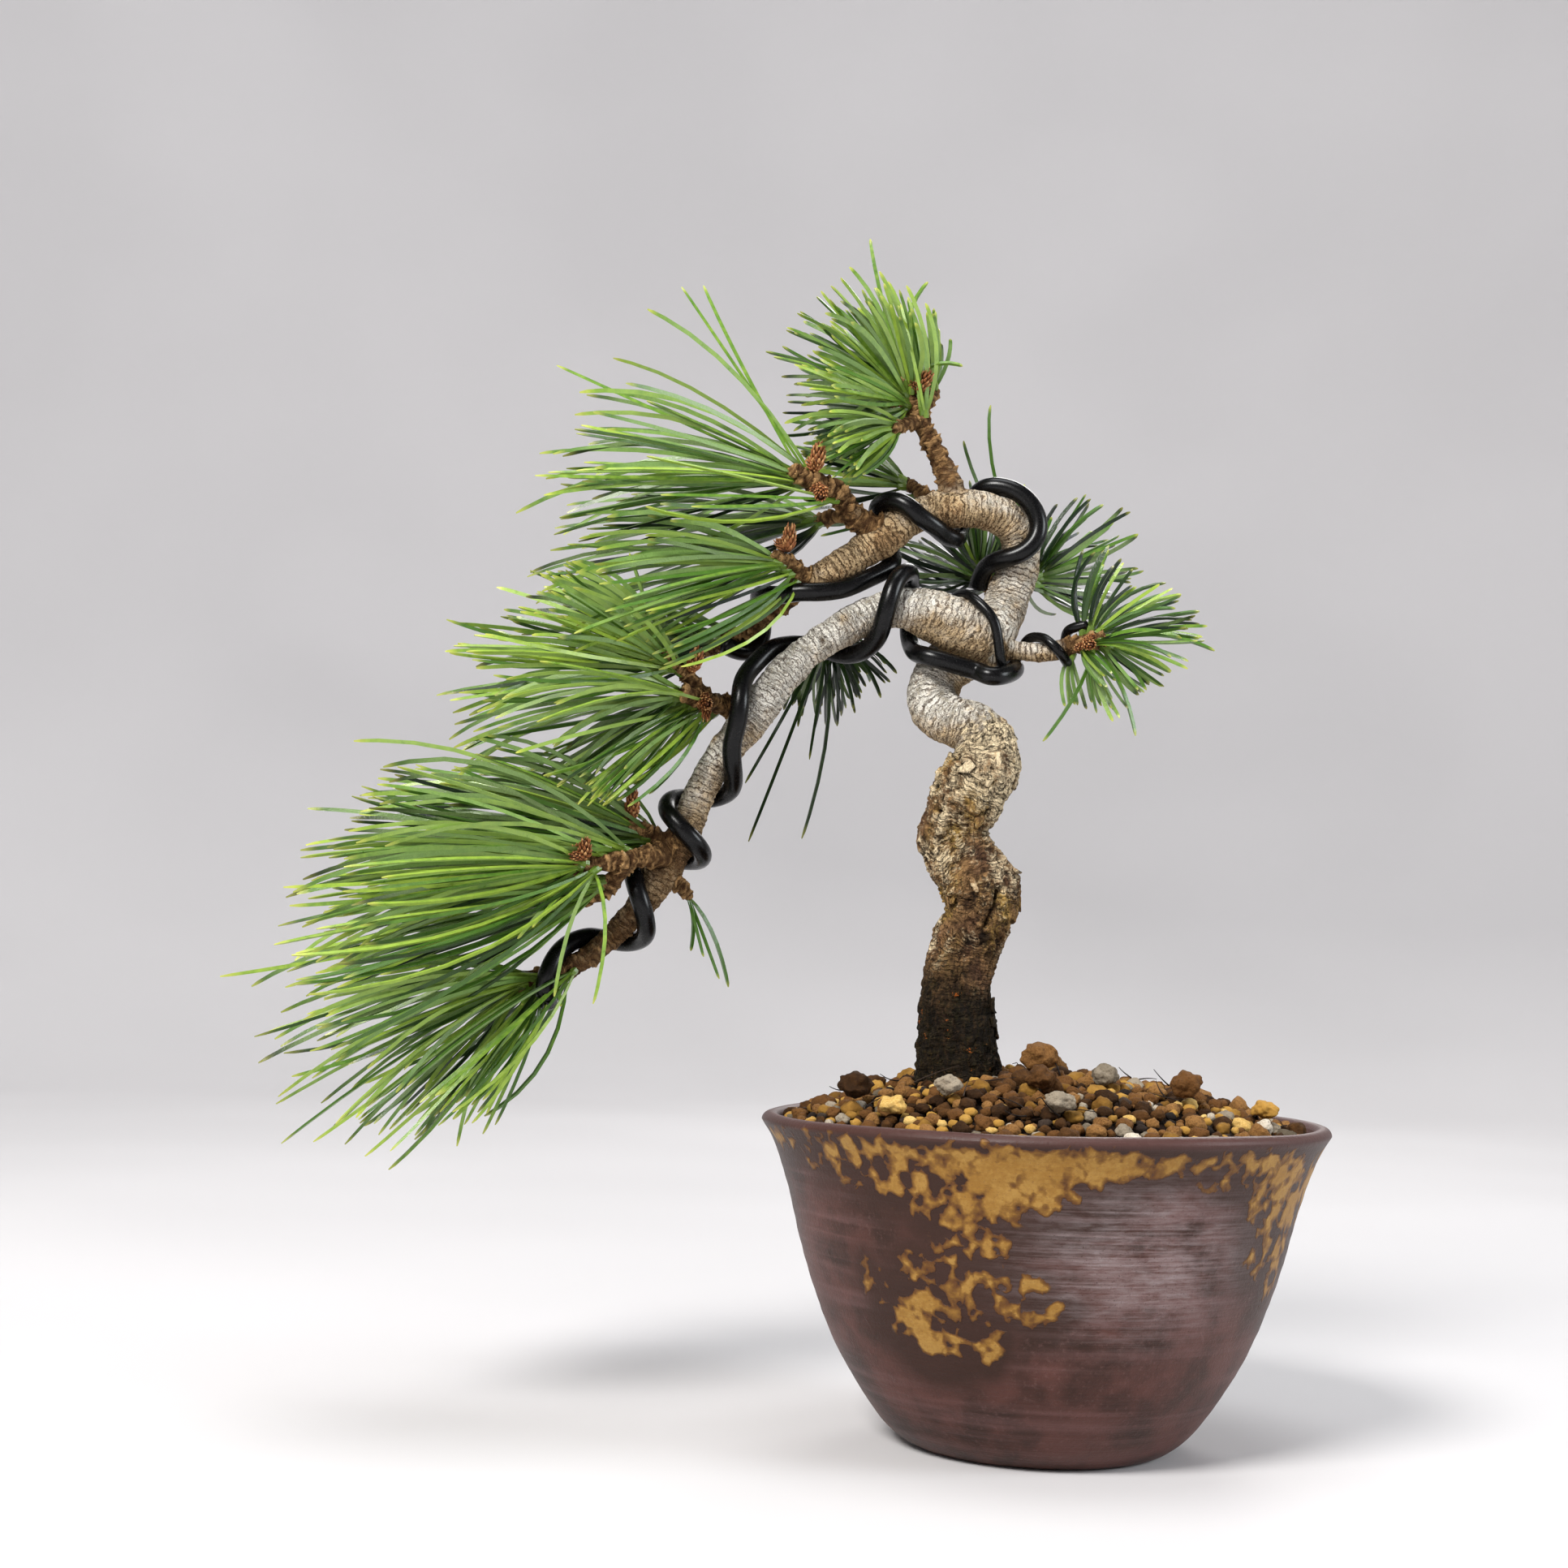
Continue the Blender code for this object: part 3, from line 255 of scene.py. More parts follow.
class Paint:
    """A material under construction, with millimetre coordinates."""

    def __init__(self, name: str) -> None:
        """Start a material that holds a Principled shader and an output."""
        self.material = bpy.data.materials.new(name)
        self.material.use_nodes = True
        self.tree = self.material.node_tree
        self.shader = self.tree.nodes["Principled BSDF"]
        coordinates = self.node("ShaderNodeTexCoord", {}, {})
        self.place = self.scaled(coordinates.outputs["Object"], 1.0 / MM)

    def node(self, kind: str, settings: dict, sockets: dict) -> Node:
        """Add a node.

        Args:
            kind: The node's type.
            settings: Its properties, set first.
            sockets: Values or links by socket name or number.

        Returns:
            The node.
        """
        node = self.tree.nodes.new(kind)
        for key, setting in settings.items():
            setattr(node, key, setting)
        self.feed(node, sockets)
        return node

    def feed(self, node: Node, sockets: dict) -> None:
        """Set or link a node's sockets, by name or number."""
        for key, value in sockets.items():
            if isinstance(value, Value):
                value = value.socket
            if isinstance(value, NodeSocket):
                self.tree.links.new(value, node.inputs[key])
            else:
                node.inputs[key].default_value = value

    def math(self, operation: str, *operands: Number) -> Value:
        """Add a Math node and return its result."""
        node = self.node("ShaderNodeMath", {"operation": operation}, dict(enumerate(operands)))
        return Value(self, node.outputs[0])

    def scaled(self, vector: NodeSocket, factor: float) -> NodeSocket:
        """Multiply a vector by a number."""
        settings = {"operation": "SCALE"}
        return self.node("ShaderNodeVectorMath", settings, {0: vector, "Scale": factor}).outputs[0]

    def stretched(self, factors: Sequence[float]) -> NodeSocket:
        """Multiply the place by a factor for each axis."""
        settings = {"operation": "MULTIPLY"}
        return self.node("ShaderNodeVectorMath", settings, {0: self.place, 1: factors}).outputs[0]

    def attribute(self, name: str) -> Value:
        """Read a number stored on the mesh."""
        return Value(self, self.node("ShaderNodeAttribute", {"attribute_name": name}, {}).outputs["Fac"])

    def grain(self, size: float, detail: float = 3.0, rough: float = 0.55,
              vector: Union[NodeSocket, None] = None, warp: float = 0.0) -> Value:
        """Add a noise whose features have a size in millimetres.

        Args:
            size: Feature size.
            detail: Number of finer layers.
            rough: Strength of the finer layers.
            vector: Where to read it; the place if left out.
            warp: Distortion.

        Returns:
            The noise, from 0 to 1.
        """
        sockets = {"Vector": vector or self.place, "Scale": 1.0 / size, "Detail": detail,
                   "Roughness": rough, "Distortion": warp}
        node = self.node("ShaderNodeTexNoise", {"noise_dimensions": "3D"}, sockets)
        return Value(self, node.outputs[0])

    def cells(self, size: float) -> Value:
        """Add the distance to the nearest of scattered points a size apart, in millimetres."""
        sockets = {"Vector": self.place, "Scale": 1.0 / size}
        return Value(self, self.node("ShaderNodeTexVoronoi", {"feature": "F1"}, sockets).outputs[0])

    def mix(self, low: object, high: object, share: Number) -> NodeSocket:
        """Blend two colours.

        Args:
            low: The colour at 0.
            high: The colour at 1.
            share: The blend.

        Returns:
            The colour socket.
        """
        settings = {"data_type": "RGBA", "clamp_factor": True}
        node = self.node("ShaderNodeMix", settings, {0: share, 6: low, 7: high})
        return node.outputs[2]

    def bump(self, height: Value, depth: float) -> NodeSocket:
        """Add a Bump node.

        Args:
            height: The height field, 0 to 1.
            depth: Millimetres from 0 to 1.

        Returns:
            The normal socket.
        """
        sockets = {"Height": height, "Distance": depth * MM, "Strength": 1.0}
        return self.node("ShaderNodeBump", {}, sockets).outputs[0]

    def finish(self, colour: object, rough: Number, normal: object = None,
               **constants: float) -> Material:
        """Set the shader's sockets.

        Args:
            colour: Base colour.
            rough: Roughness.
            normal: Normal socket.
            constants: Other sockets by name, with underscores for spaces.

        Returns:
            The finished material.
        """
        sockets = {"Base Color": colour, "Roughness": rough}
        if normal is not None:
            sockets["Normal"] = normal
        self.feed(self.shader, sockets)
        for key, constant in constants.items():
            self.shader.inputs[key.replace("_", " ")].default_value = constant
        return self.material


# ---- finishes

@dataclass(frozen=True)
class StonewareFinish:
    """Purple-brown stoneware with ochre glaze that crawled into ragged patches; its sheen is painted."""

    clay: tuple = srgb(84, 50, 43)
    clay_dark: tuple = srgb(47, 26, 17)
    clay_light: tuple = srgb(116, 84, 82)
    # Painted sheen: the pale grey laid over the clay where it would reflect the light
    painted_sheen_colour: tuple = srgb(160, 150, 151)
    lip: tuple = srgb(80, 53, 50)
    glaze: tuple = srgb(138, 99, 38)
    glaze_deep: tuple = srgb(84, 50, 18)
    glaze_light: tuple = srgb(168, 132, 68)

    def material(self) -> Material:
        """Build the material."""
        paint = Paint("stoneware")
        patch = paint.attribute("glaze")
        lip = paint.attribute("lip")
        # Where the painted sheen lies; the clay there is also a little glossier
        painted_sheen_zone = paint.attribute("painted_sheen_zone")
        stain = paint.attribute("stain")
        broad = paint.grain(9.0, 3.0)
        fine = paint.grain(0.8, 3.0, 0.6)
        speck = paint.grain(0.33, 2.0, 0.6)
        ragged = paint.grain(2.8, 2.0, 0.4, warp=0.4)
        holes = paint.cells(2.4)
        edge = patch + (ragged - 0.5) * 2.4 + (holes - 0.42) * 0.85 + (fine - 0.5) * 0.3
        glazed = edge.rise(0.52, 0.6) * patch.rise(0.08, 0.2)
        thick = edge.rise(0.55, 1.1)
        lines = paint.grain(1.0, 3.0, 0.6, vector=paint.stretched((0.03, 0.03, 2.6)))
        bands = paint.grain(1.0, 2.0, 0.5, vector=paint.stretched((0.02, 0.02, 0.55)))
        clay = paint.mix(self.clay_dark, self.clay, broad.rise(0.3, 0.66))
        clay = paint.mix(clay, self.clay_light, fine.rise(0.5, 0.85) * 0.45)
        clay = paint.mix(clay, self.clay_light, bands.rise(0.45, 0.75) * 0.35)
        brown = (stain * 1.2 + (broad - 0.5) * 0.9 + (fine - 0.5) * 0.3).rise(0.15, 0.75)
        clay = paint.mix(clay, self.clay_dark, brown * 0.92)
        # Painted sheen: pale streaks along the throwing lines and a pale grey wash over the sheen patch
        clay = paint.mix(clay, self.clay_light, painted_sheen_zone * lines.rise(0.4, 0.75) * 0.45)
        streak = paint.grain(1.0, 4.0, 0.7, vector=paint.stretched((0.22, 0.22, 1.0)), warp=0.4)
        painted_sheen_mask = painted_sheen_zone * (streak * 0.5 + lines * 0.3 + broad * 0.35).rise(0.42, 0.86)
        clay = paint.mix(clay, self.painted_sheen_colour, painted_sheen_mask * 0.68)
        clay = paint.mix(clay, self.clay_dark, speck.rise(0.62, 0.72) * 0.6)
        clay = paint.mix(clay, self.lip, lip * (0.45 + 0.5 * fine))
        glaze = paint.mix(self.glaze_deep, self.glaze, thick)
        pool = (broad * 0.6 + fine * 0.5) * thick
        glaze = paint.mix(glaze, self.glaze_light, pool.rise(0.4, 0.72) * 0.65)
        glaze = paint.mix(glaze, self.clay, speck.rise(0.6, 0.74) * 0.5)
        colour = paint.mix(clay, glaze, glazed)
        rough = 0.46 + 0.2 * (fine - 0.5) + glazed * 0.04 - painted_sheen_zone * 0.16
        height = lines * 0.4 + fine * 0.35 + speck * 0.2 + bands * 0.4 + glazed * 0.55 + thick * 0.4
        normal = paint.bump(height, 0.2)
        return paint.finish(colour, rough, normal, Specular_IOR_Level=0.26)


@dataclass(frozen=True)
class BarkFinish:
    """Bark that goes from black and flaky at the soil to smooth, ringed grey and scaly brown shoots."""

    old_dark: tuple = srgb(58, 41, 26)
    old_brown: tuple = srgb(146, 112, 74)
    old_tan: tuple = srgb(238, 218, 180)
    old_olive: tuple = srgb(184, 150, 78)
    # Near black for the old bark's cracks and creases, partly painted shade in those hollows and painted
    # shadow under lifted plates; also for dark specks
    crack_and_painted_shade: tuple = srgb(18, 12, 8)
    moss: tuple = srgb(14, 11, 7)
    moss_green: tuple = srgb(44, 40, 17)
    rust: tuple = srgb(176, 92, 34)
    pale: tuple = srgb(226, 222, 212)
    pale_grey: tuple = srgb(150, 142, 126)
    pale_warm: tuple = srgb(184, 156, 114)
    ring: tuple = srgb(70, 50, 30)
    old_rosy: tuple = srgb(96, 66, 52)
    shoot: tuple = srgb(172, 134, 88)
    shoot_dark: tuple = srgb(72, 48, 27)
    shoot_light: tuple = srgb(226, 196, 148)

    def material(self) -> Material:
        """Build the material."""
        paint = Paint("bark")
        age = paint.attribute("age")
        run = paint.attribute("run")
        crack_and_painted_shade = paint.attribute("crack_and_painted_shade")
        tint = paint.attribute("tint")
        damp = paint.attribute("damp")
        # Painted shade: how much a face looks downwards
        under = paint.attribute("under")
        warm = paint.attribute("warm")
        knot = paint.attribute("knot")
        broad = paint.grain(6.0, 3.0)
        middle = paint.grain(2.0, 4.0, 0.6)
        fine = paint.grain(0.6, 4.0, 0.65)
        dust = paint.grain(0.24, 2.0, 0.6)

        fibre = paint.grain(1.0, 3.0, 0.6, vector=paint.stretched((1.5, 1.5, 0.32)), warp=0.5)
        flow = run / 0.9 + (middle - 0.5) * 3.0 + (broad - 0.5) * 6.0
        crease = 1.0 - (flow.math("FRACT") - 0.5).math("ABSOLUTE").rise(0.03, 0.2)
        crease = crease * (broad * 0.5 + fine * 0.6).rise(0.44, 0.66)
        zone = paint.grain(7.0, 2.0, 0.5, vector=paint.stretched((1.0, 1.0, 0.7)), warp=0.4)
        old = paint.mix(self.old_dark, self.old_brown, (tint * 0.7 + fine * 0.6).rise(0.25, 0.8))
        old = paint.mix(old, self.old_rosy, (1.0 - zone).rise(0.5, 0.66) * 0.5)
        old = paint.mix(old, self.old_olive, (zone * 0.8 + fine * 0.4).rise(0.62, 0.76) * 0.6)
        light = tint * 0.22 + middle * 0.45 + fine * 0.6 + (broad - 0.5) * 1.1
        light = light + run.rise(38.0, 95.0) * 0.34
        old = paint.mix(old, self.old_tan, light.rise(0.68, 0.98) * 0.9)
        old = paint.mix(old, self.old_dark, (1.0 - middle).rise(0.54, 0.7) * 0.4)
        old = paint.mix(old, self.old_dark, (1.0 - fibre).rise(0.5, 0.64) * 0.7)
        # Creases and cracks go near black: partly the bark's dark fissures, partly painted shade, and
        # painted shadow under lifted plates
        old = paint.mix(old, self.crack_and_painted_shade, crease * 0.9)
        old = paint.mix(old, self.crack_and_painted_shade, crack_and_painted_shade.rise(0.36, 0.95) * 0.92)
        old = paint.mix(old, self.crack_and_painted_shade, dust.rise(0.58, 0.72) * 0.5)
        wet = (damp * 1.5 + (zone - 0.5) * 1.3 + (fine - 0.5) * 0.6).rise(0.25, 1.0)
        mossy = paint.mix(self.moss, self.moss_green, (middle * 0.6 + fine * 0.5).rise(0.5, 0.75) * 0.75)
        mossy = paint.mix(mossy, self.old_dark, (fibre * 0.6 + fine * 0.5).rise(0.54, 0.74) * 0.75)
        old = paint.mix(old, mossy, wet * 0.96)
        old = paint.mix(old, self.rust, (middle * 0.7 + dust * 0.35).rise(0.66, 0.7) * wet)

        wavy = run / 1.15 + (middle - 0.5) * 2.2 + (broad - 0.5) * 1.6
        fold = (wavy.math("FRACT") - 0.5).math("ABSOLUTE")
        line = (1.0 - fold.rise(0.03, 0.18)) * (middle * 0.7 + fine * 0.6).rise(0.5, 0.68)
        tight = run / 0.5 + (middle - 0.5) * 3.0 + (fine - 0.5) * 0.8
        thin = 1.0 - (tight.math("FRACT") - 0.5).math("ABSOLUTE").rise(0.06, 0.26)
        rings = line.most(thin * (broad * 0.7 + fine * 0.7).rise(0.6, 0.86) * 0.8)
        pale = paint.mix(self.pale_grey, self.pale, (middle * 0.8 + fine * 0.6).rise(0.5, 0.74))
        # Painted shade: faces that look downwards are made browner
        brown = warm * 0.85 + (middle - 0.5) * 1.1 + (broad - 0.5) * 0.7 + knot * 0.5 + under * 0.5
        pale = paint.mix(pale, self.pale_warm, brown.rise(0.15, 0.85) * 0.92)
        pale = paint.mix(pale, self.old_brown, (brown + (fine - 0.5) * 1.6).rise(0.75, 1.35) * 0.8)
        pale = paint.mix(pale, self.ring, rings * (0.7 + 0.25 * warm))
        pale = paint.mix(pale, self.ring, (dust * 0.8 + fine * 0.35).rise(0.61, 0.7) * 0.85)
        # Cracks, ring grooves and gashes on the smooth bark darkened, partly painted shade
        pale = paint.mix(pale, self.ring, crack_and_painted_shade.rise(0.2, 0.9) * 0.8)

        scaly = paint.mix(self.shoot_dark, self.shoot, (tint * 0.9 + fine * 0.5).rise(0.25, 0.75))
        ridge = tint * 0.8 + middle * 0.4 + fine * 0.3
        scaly = paint.mix(scaly, self.shoot_light, ridge.rise(0.85, 1.2))
        # Painted shade at the foot of each scale, and dark cracks on the shoots
        scaly = paint.mix(scaly, self.shoot_dark, crack_and_painted_shade.rise(0.2, 0.8) * 0.9)

        colour = paint.mix(scaly, pale, (age + (middle - 0.5) * 0.5).rise(0.38, 0.72))
        colour = paint.mix(colour, old, (age + (middle - 0.5) * 0.7).rise(1.25, 1.42))
        relief = middle * 0.35 + fine * 0.6 + dust * 0.25 + fibre * 0.4
        relief = relief - rings * 0.5 - crack_and_painted_shade * 0.5 - crease * 0.6
        rough = 0.8 + 0.2 * (fine - 0.5)
        return paint.finish(colour, rough, paint.bump(relief, 0.6), Specular_IOR_Level=0.12)


@dataclass(frozen=True)
class NeedleFinish:
    """Mid-green needles with bluish bands inside, darker at the sheath and yellow-green at the tip."""

    green: tuple = srgb(78, 118, 38)
    # Painted shade and light: the deep green for needles at the back and the lit green for needles in
    # front
    deep: tuple = srgb(10, 30, 10)
    painted_lit_green: tuple = srgb(152, 180, 66)
    tip: tuple = srgb(196, 196, 92)
    band: tuple = srgb(150, 178, 108)
    foot: tuple = srgb(96, 120, 42)

    def material(self) -> Material:
        """Build the material."""
        paint = Paint("needle")
        along = paint.attribute("along")
        tint = paint.attribute("tint")
        band = paint.attribute("band")
        mottle = paint.grain(1.6, 3.0)
        streak = paint.grain(0.3, 2.0)
        # The tint is painted light and shade with random variation: low at the back, high in front
        colour = paint.mix(self.deep, self.green, (tint * 0.9 + mottle * 0.2).rise(0.15, 0.82))
        colour = paint.mix(colour, self.painted_lit_green, (tint * 0.8 + mottle * 0.4).rise(0.7, 1.1))
        stripe = band * (0.2 + 0.4 * streak) * along.rise(0.02, 0.2) * (1.0 - along.rise(0.8, 0.98))
        colour = paint.mix(colour, self.band, stripe)
        colour = paint.mix(colour, self.foot, (1.0 - along.rise(0.0, 0.14)) * 0.7)
        # Tips are yellower where the tint is painted lighter
        colour = paint.mix(colour, self.tip, along.rise(0.93, 1.0) * (0.3 + 0.45 * tint))
        rough = 0.3 + 0.15 * (mottle - 0.5)
        normal = paint.bump(streak, 0.05)
        return paint.finish(colour, rough, normal, Specular_IOR_Level=0.45)


@dataclass(frozen=True)
class SheathFinish:
    """Papery brown sheaths and bud scales."""

    dark: tuple = srgb(64, 34, 16)
    brown: tuple = srgb(142, 86, 46)
    light: tuple = srgb(204, 156, 102)

    def material(self) -> Material:
        """Build the material."""
        paint = Paint("sheath")
        edge = paint.attribute("edge")
        tint = paint.attribute("tint")
        fine = paint.grain(0.4, 3.0, 0.6)
        colour = paint.mix(self.dark, self.brown, (edge * 0.8 + fine * 0.5).rise(0.2, 0.7))
        colour = paint.mix(colour, self.light, (edge * 0.6 + tint * 0.5 + fine * 0.2).rise(0.75, 1.15))
        normal = paint.bump(fine, 0.1)
        return paint.finish(colour, 0.62 + 0.2 * (fine - 0.5), normal, Specular_IOR_Level=0.4)


@dataclass(frozen=True)
class WireFinish:
    """Black anodised aluminium, satin, with faint drawing marks."""

    black: tuple = srgb(5, 5, 6)
    worn: tuple = srgb(13, 12, 12)

    def material(self) -> Material:
        """Build the material."""
        paint = Paint("black_wire")
        broad = paint.grain(3.0, 3.0)
        fine = paint.grain(0.35, 3.0, 0.6)
        colour = paint.mix(self.black, self.worn, (broad * 0.6 + fine * 0.5).rise(0.55, 0.85))
        rough = 0.27 + 0.08 * (broad - 0.5) + 0.05 * (fine - 0.5)
        return paint.finish(colour, rough, paint.bump(fine, 0.008), Specular_IOR_Level=0.24)


@dataclass(frozen=True)
class GrainFinish:
    """One kind of soil grain, each grain with a shade of its own."""

    name: str
    dark: tuple
    middle: tuple
    light: tuple
    pore: float = 0.45

    def material(self) -> Material:
        """Build the material."""
        paint = Paint(self.name)
        tint = paint.attribute("tint")
        broad = paint.grain(1.6, 3.0)
        fine = paint.grain(0.35, 3.0, 0.65)
        pores = paint.cells(0.5)
        colour = paint.mix(self.dark, self.middle, (tint * 0.9 + broad * 0.5).rise(0.2, 0.75))
        colour = paint.mix(colour, self.light, (tint * 0.7 + fine * 0.5).rise(0.68, 1.05))
        colour = paint.mix(colour, self.dark, (1.0 - pores.rise(0.1, 0.4)) * self.pore)
        normal = paint.bump(broad * 0.4 + fine * 0.5 + pores * self.pore, 0.28)
        return paint.finish(colour, 0.88 + 0.15 * (fine - 0.5), normal, Specular_IOR_Level=0.15)


@dataclass(frozen=True)
class PlainFinish:
    """A quiet matt finish with a faint grain, for the stage and the hidden mesh."""

    name: str
    colour: tuple
    grain: float = 20.0
    rough: float = 0.8

    def material(self) -> Material:
        """Build the material."""
        paint = Paint(self.name)
        broad = paint.grain(self.grain, 2.0)
        darker = tuple(part * 0.94 for part in self.colour[:3]) + (1.0,)
        colour = paint.mix(darker, self.colour, broad.rise(0.35, 0.65))
        return paint.finish(colour, self.rough, None, Specular_IOR_Level=0.2)


CLAY_GRAIN = GrainFinish("clay_grain", srgb(44, 27, 12), srgb(98, 65, 33), srgb(146, 106, 60))
PEBBLE_GRAIN = GrainFinish("pebble_grain", srgb(104, 72, 28), srgb(172, 130, 60), srgb(218, 186, 116),
                           0.15)
PUMICE_GRAIN = GrainFinish("pumice_grain", srgb(84, 74, 60), srgb(150, 138, 120), srgb(222, 210, 192),
                           0.5)
DARK_GRAIN = GrainFinish("dark_grain", srgb(16, 13, 12), srgb(38, 30, 26), srgb(66, 54, 46), 0.3)


class GrainKind(Enum):
    """Kinds of soil grain, each with its finish."""

    CLAY = CLAY_GRAIN
    PEBBLE = PEBBLE_GRAIN
    PUMICE = PUMICE_GRAIN
    DARK = DARK_GRAIN


# ---- mesh helpers

@dataclass
class MeshParts:
    """Vertices, faces and per-vertex numbers gathered for one object."""

    verts: list = field(default_factory=list)
    faces: list = field(default_factory=list)
    marks: dict = field(default_factory=dict)
    face_marks: dict = field(default_factory=dict)
    slots: list = field(default_factory=list)
    count: int = 0

    def add(self, verts: np.ndarray, faces: Sequence[Sequence[int]], slot: int = 0,
            marks: Union[dict, None] = None, face_marks: Union[dict, None] = None) -> None:
        """Add one closed shape.

        Args:
            verts: Its points in millimetres.
            faces: Its faces.
            slot: Material slot number of its faces.
            marks: Numbers for each point, by name.
            face_marks: Numbers for each face, by name.
        """
        self.verts.append(np.asarray(verts, dtype=float))
        for face in faces:
            self.faces.append(tuple(int(index) + self.count for index in face))
        self.slots.extend([slot] * len(faces))
        for name, values in (marks or {}).items():
            self.marks.setdefault(name, []).append(np.broadcast_to(values, (len(verts),)))
        for name, values in (face_marks or {}).items():
            self.face_marks.setdefault(name, []).append(np.broadcast_to(values, (len(faces),)))
        self.count += len(verts)

    def build(self, name: str, materials: Sequence[Material]) -> Object:
        """Make the object.

        Args:
            name: The object's name.
            materials: Its materials, in slot order.

        Returns:
            The object, linked to the scene.
        """
        mesh = bpy.data.meshes.new(name)
        mesh.from_pydata((np.vstack(self.verts) * MM).tolist(), [], self.faces)
        for key, arrays in self.marks.items():
            set_marks(mesh, key, np.concatenate(arrays))
        for key, arrays in self.face_marks.items():
            set_marks(mesh, key, np.concatenate(arrays), "FACE")
        mesh.polygons.foreach_set("material_index", self.slots)
        return link_mesh(name, mesh, materials)


def set_marks(mesh: Mesh, name: str, values: np.ndarray, domain: str = "POINT") -> None:
    """Store a number for every vertex or face of a mesh.

    Args:
        mesh: The mesh.
        name: The attribute's name.
        values: The numbers.
        domain: POINT or FACE.
    """
    attribute = mesh.attributes.get(name) or mesh.attributes.new(name, "FLOAT", domain)
    attribute.data.foreach_set("value", np.asarray(values, dtype=np.float32))


def link_mesh(name: str, mesh: Mesh,
              materials: Sequence[Material]) -> Object:
    """Link a mesh to the scene, smooth, with its materials.

    Args:
        name: The object's name.
        mesh: The mesh.
        materials: Its materials.

    Returns:
        The object.
    """
    obj = bpy.data.objects.new(name, mesh)
    bpy.context.scene.collection.objects.link(obj)
    mesh.materials.clear()
    for material in materials:
        mesh.materials.append(material)
    mesh.shade_smooth()
    return obj


def finished_mesh(shape: bmesh.types.BMesh, name: str) -> Mesh:
    """Turn a shape under construction into a mesh, and free it."""
    mesh = bpy.data.meshes.new(name)
    shape.to_mesh(mesh)
    shape.free()
    return mesh


def claim(piece: Object, slot: str, *nodes: str) -> None:
    """Ride a piece on the pot's body and hide the CAD nodes it replaces.

    Args:
        piece: The object.
        slot: The record's material slot; not used.
        nodes: CAD nodes it stands for.
    """
    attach(piece, ROOT_BODY)
    if nodes:
        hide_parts(*nodes)
    LOG.info("%s: %d faces", piece.name, len(piece.data.polygons))


def unit(vector: Sequence[float]) -> np.ndarray:
    """Scale a vector to length 1."""
    vector = np.asarray(vector, dtype=float)
    return vector / np.linalg.norm(vector)


def smooth_points(points: Sequence[Sequence[float]], steps: int) -> np.ndarray:
    """Run a Catmull-Rom curve through points.

    Args:
        points: The points.
        steps: Steps per span.

    Returns:
        The curve's points.
    """
    rows = np.array(points, dtype=float)
    padded = np.vstack([2 * rows[0] - rows[1], rows, 2 * rows[-1] - rows[-2]])
    out = []
    for span in range(len(rows) - 1):
        before, start, end, after = padded[span:span + 4]
        for step in range(steps):
            t = step / steps
            out.append(0.5 * (2 * start + (end - before) * t
                              + (2 * before - 5 * start + 4 * end - after) * t ** 2
                              + (3 * start - before - 3 * end + after) * t ** 3))
    out.append(rows[-1])
    return np.array(out)


def ring_faces(rings: int, sides: int) -> list[tuple]:
    """List the faces of a closed tube, whose two end points are numbered after its rings.

    Args:
        rings: Number of rings.
        sides: Points in a ring.

    Returns:
        The faces.
    """
    faces = []
    for low in range(0, (rings - 1) * sides, sides):
        for side in range(sides):
            follow = (side + 1) % sides
            faces.append((low + side, low + follow, low + sides + follow, low + sides + side))
    top, first, last = (rings - 1) * sides, rings * sides, rings * sides + 1
    for side in range(sides):
        follow = (side + 1) % sides
        faces.append((first, follow, side))
        faces.append((last, top + side, top + follow))
    return faces


def tube(path: np.ndarray, radii: np.ndarray, sides: int, across: float = 1.0,
         up: Union[np.ndarray, None] = None) -> tuple[np.ndarray, list]:
    """Make a closed tube along a path.

    Args:
        path: Centre line.
        radii: Radius at each point.
        sides: Number of sides.
        across: Thickness across the first side direction, as a share.
        up: First side direction to start from.

    Returns:
        The vertices and the faces.
    """
    tangents = np.gradient(path, axis=0)
    tangents /= np.linalg.norm(tangents, axis=1)[:, None]
    seed = np.array((0.0, 0.0, 1.0)) if up is None else up
    if abs(seed.dot(tangents[0])) > 0.9:
        seed = np.array((1.0, 0.0, 0.0))
    turns = np.arange(sides) * math.tau / sides
    verts = []
    for centre, tangent, radius in zip(path, tangents, radii):
        seed = unit(seed - tangent * seed.dot(tangent))
        other = np.cross(tangent, seed)
        ring = np.outer(np.cos(turns), seed) * across + np.outer(np.sin(turns), other)
        verts.append(centre + ring * radius)
    verts.append(path[0] - tangents[0] * radii[0] * START_DOME)
    verts.append(path[-1] + tangents[-1] * radii[-1] * END_DOME)
    return np.vstack(verts), ring_faces(len(path), sides)


def plate(sheet: np.ndarray, columns: int, back: np.ndarray) -> tuple[np.ndarray, list]:
    """Close a grid of points into a thin plate.

    Args:
        sheet: The points of its upper side, row by row.
        columns: Points in a row.
        back: Step from a point to the one under it.

    Returns:
        The vertices and the faces.
    """
    count = len(sheet)
    rows = count // columns
    faces = []
    for row in range(rows - 1):
        for column in range(columns - 1):
            corner = row * columns + column
            square = (corner, corner + 1, corner + columns + 1, corner + columns)
            faces.append(square)
            faces.append(tuple(index + count for index in (square[0], square[3], square[2], square[1])))
    rim = list(range(columns)) + [row * columns + columns - 1 for row in range(1, rows)]
    rim += [count - 2 - column for column in range(columns - 1)]
    rim += [row * columns for row in range(rows - 2, 0, -1)]
    for here, there in zip(rim, rim[1:] + rim[:1]):
        faces.append((here, here + count, there + count, there))
    return np.vstack([sheet, sheet + back]), faces


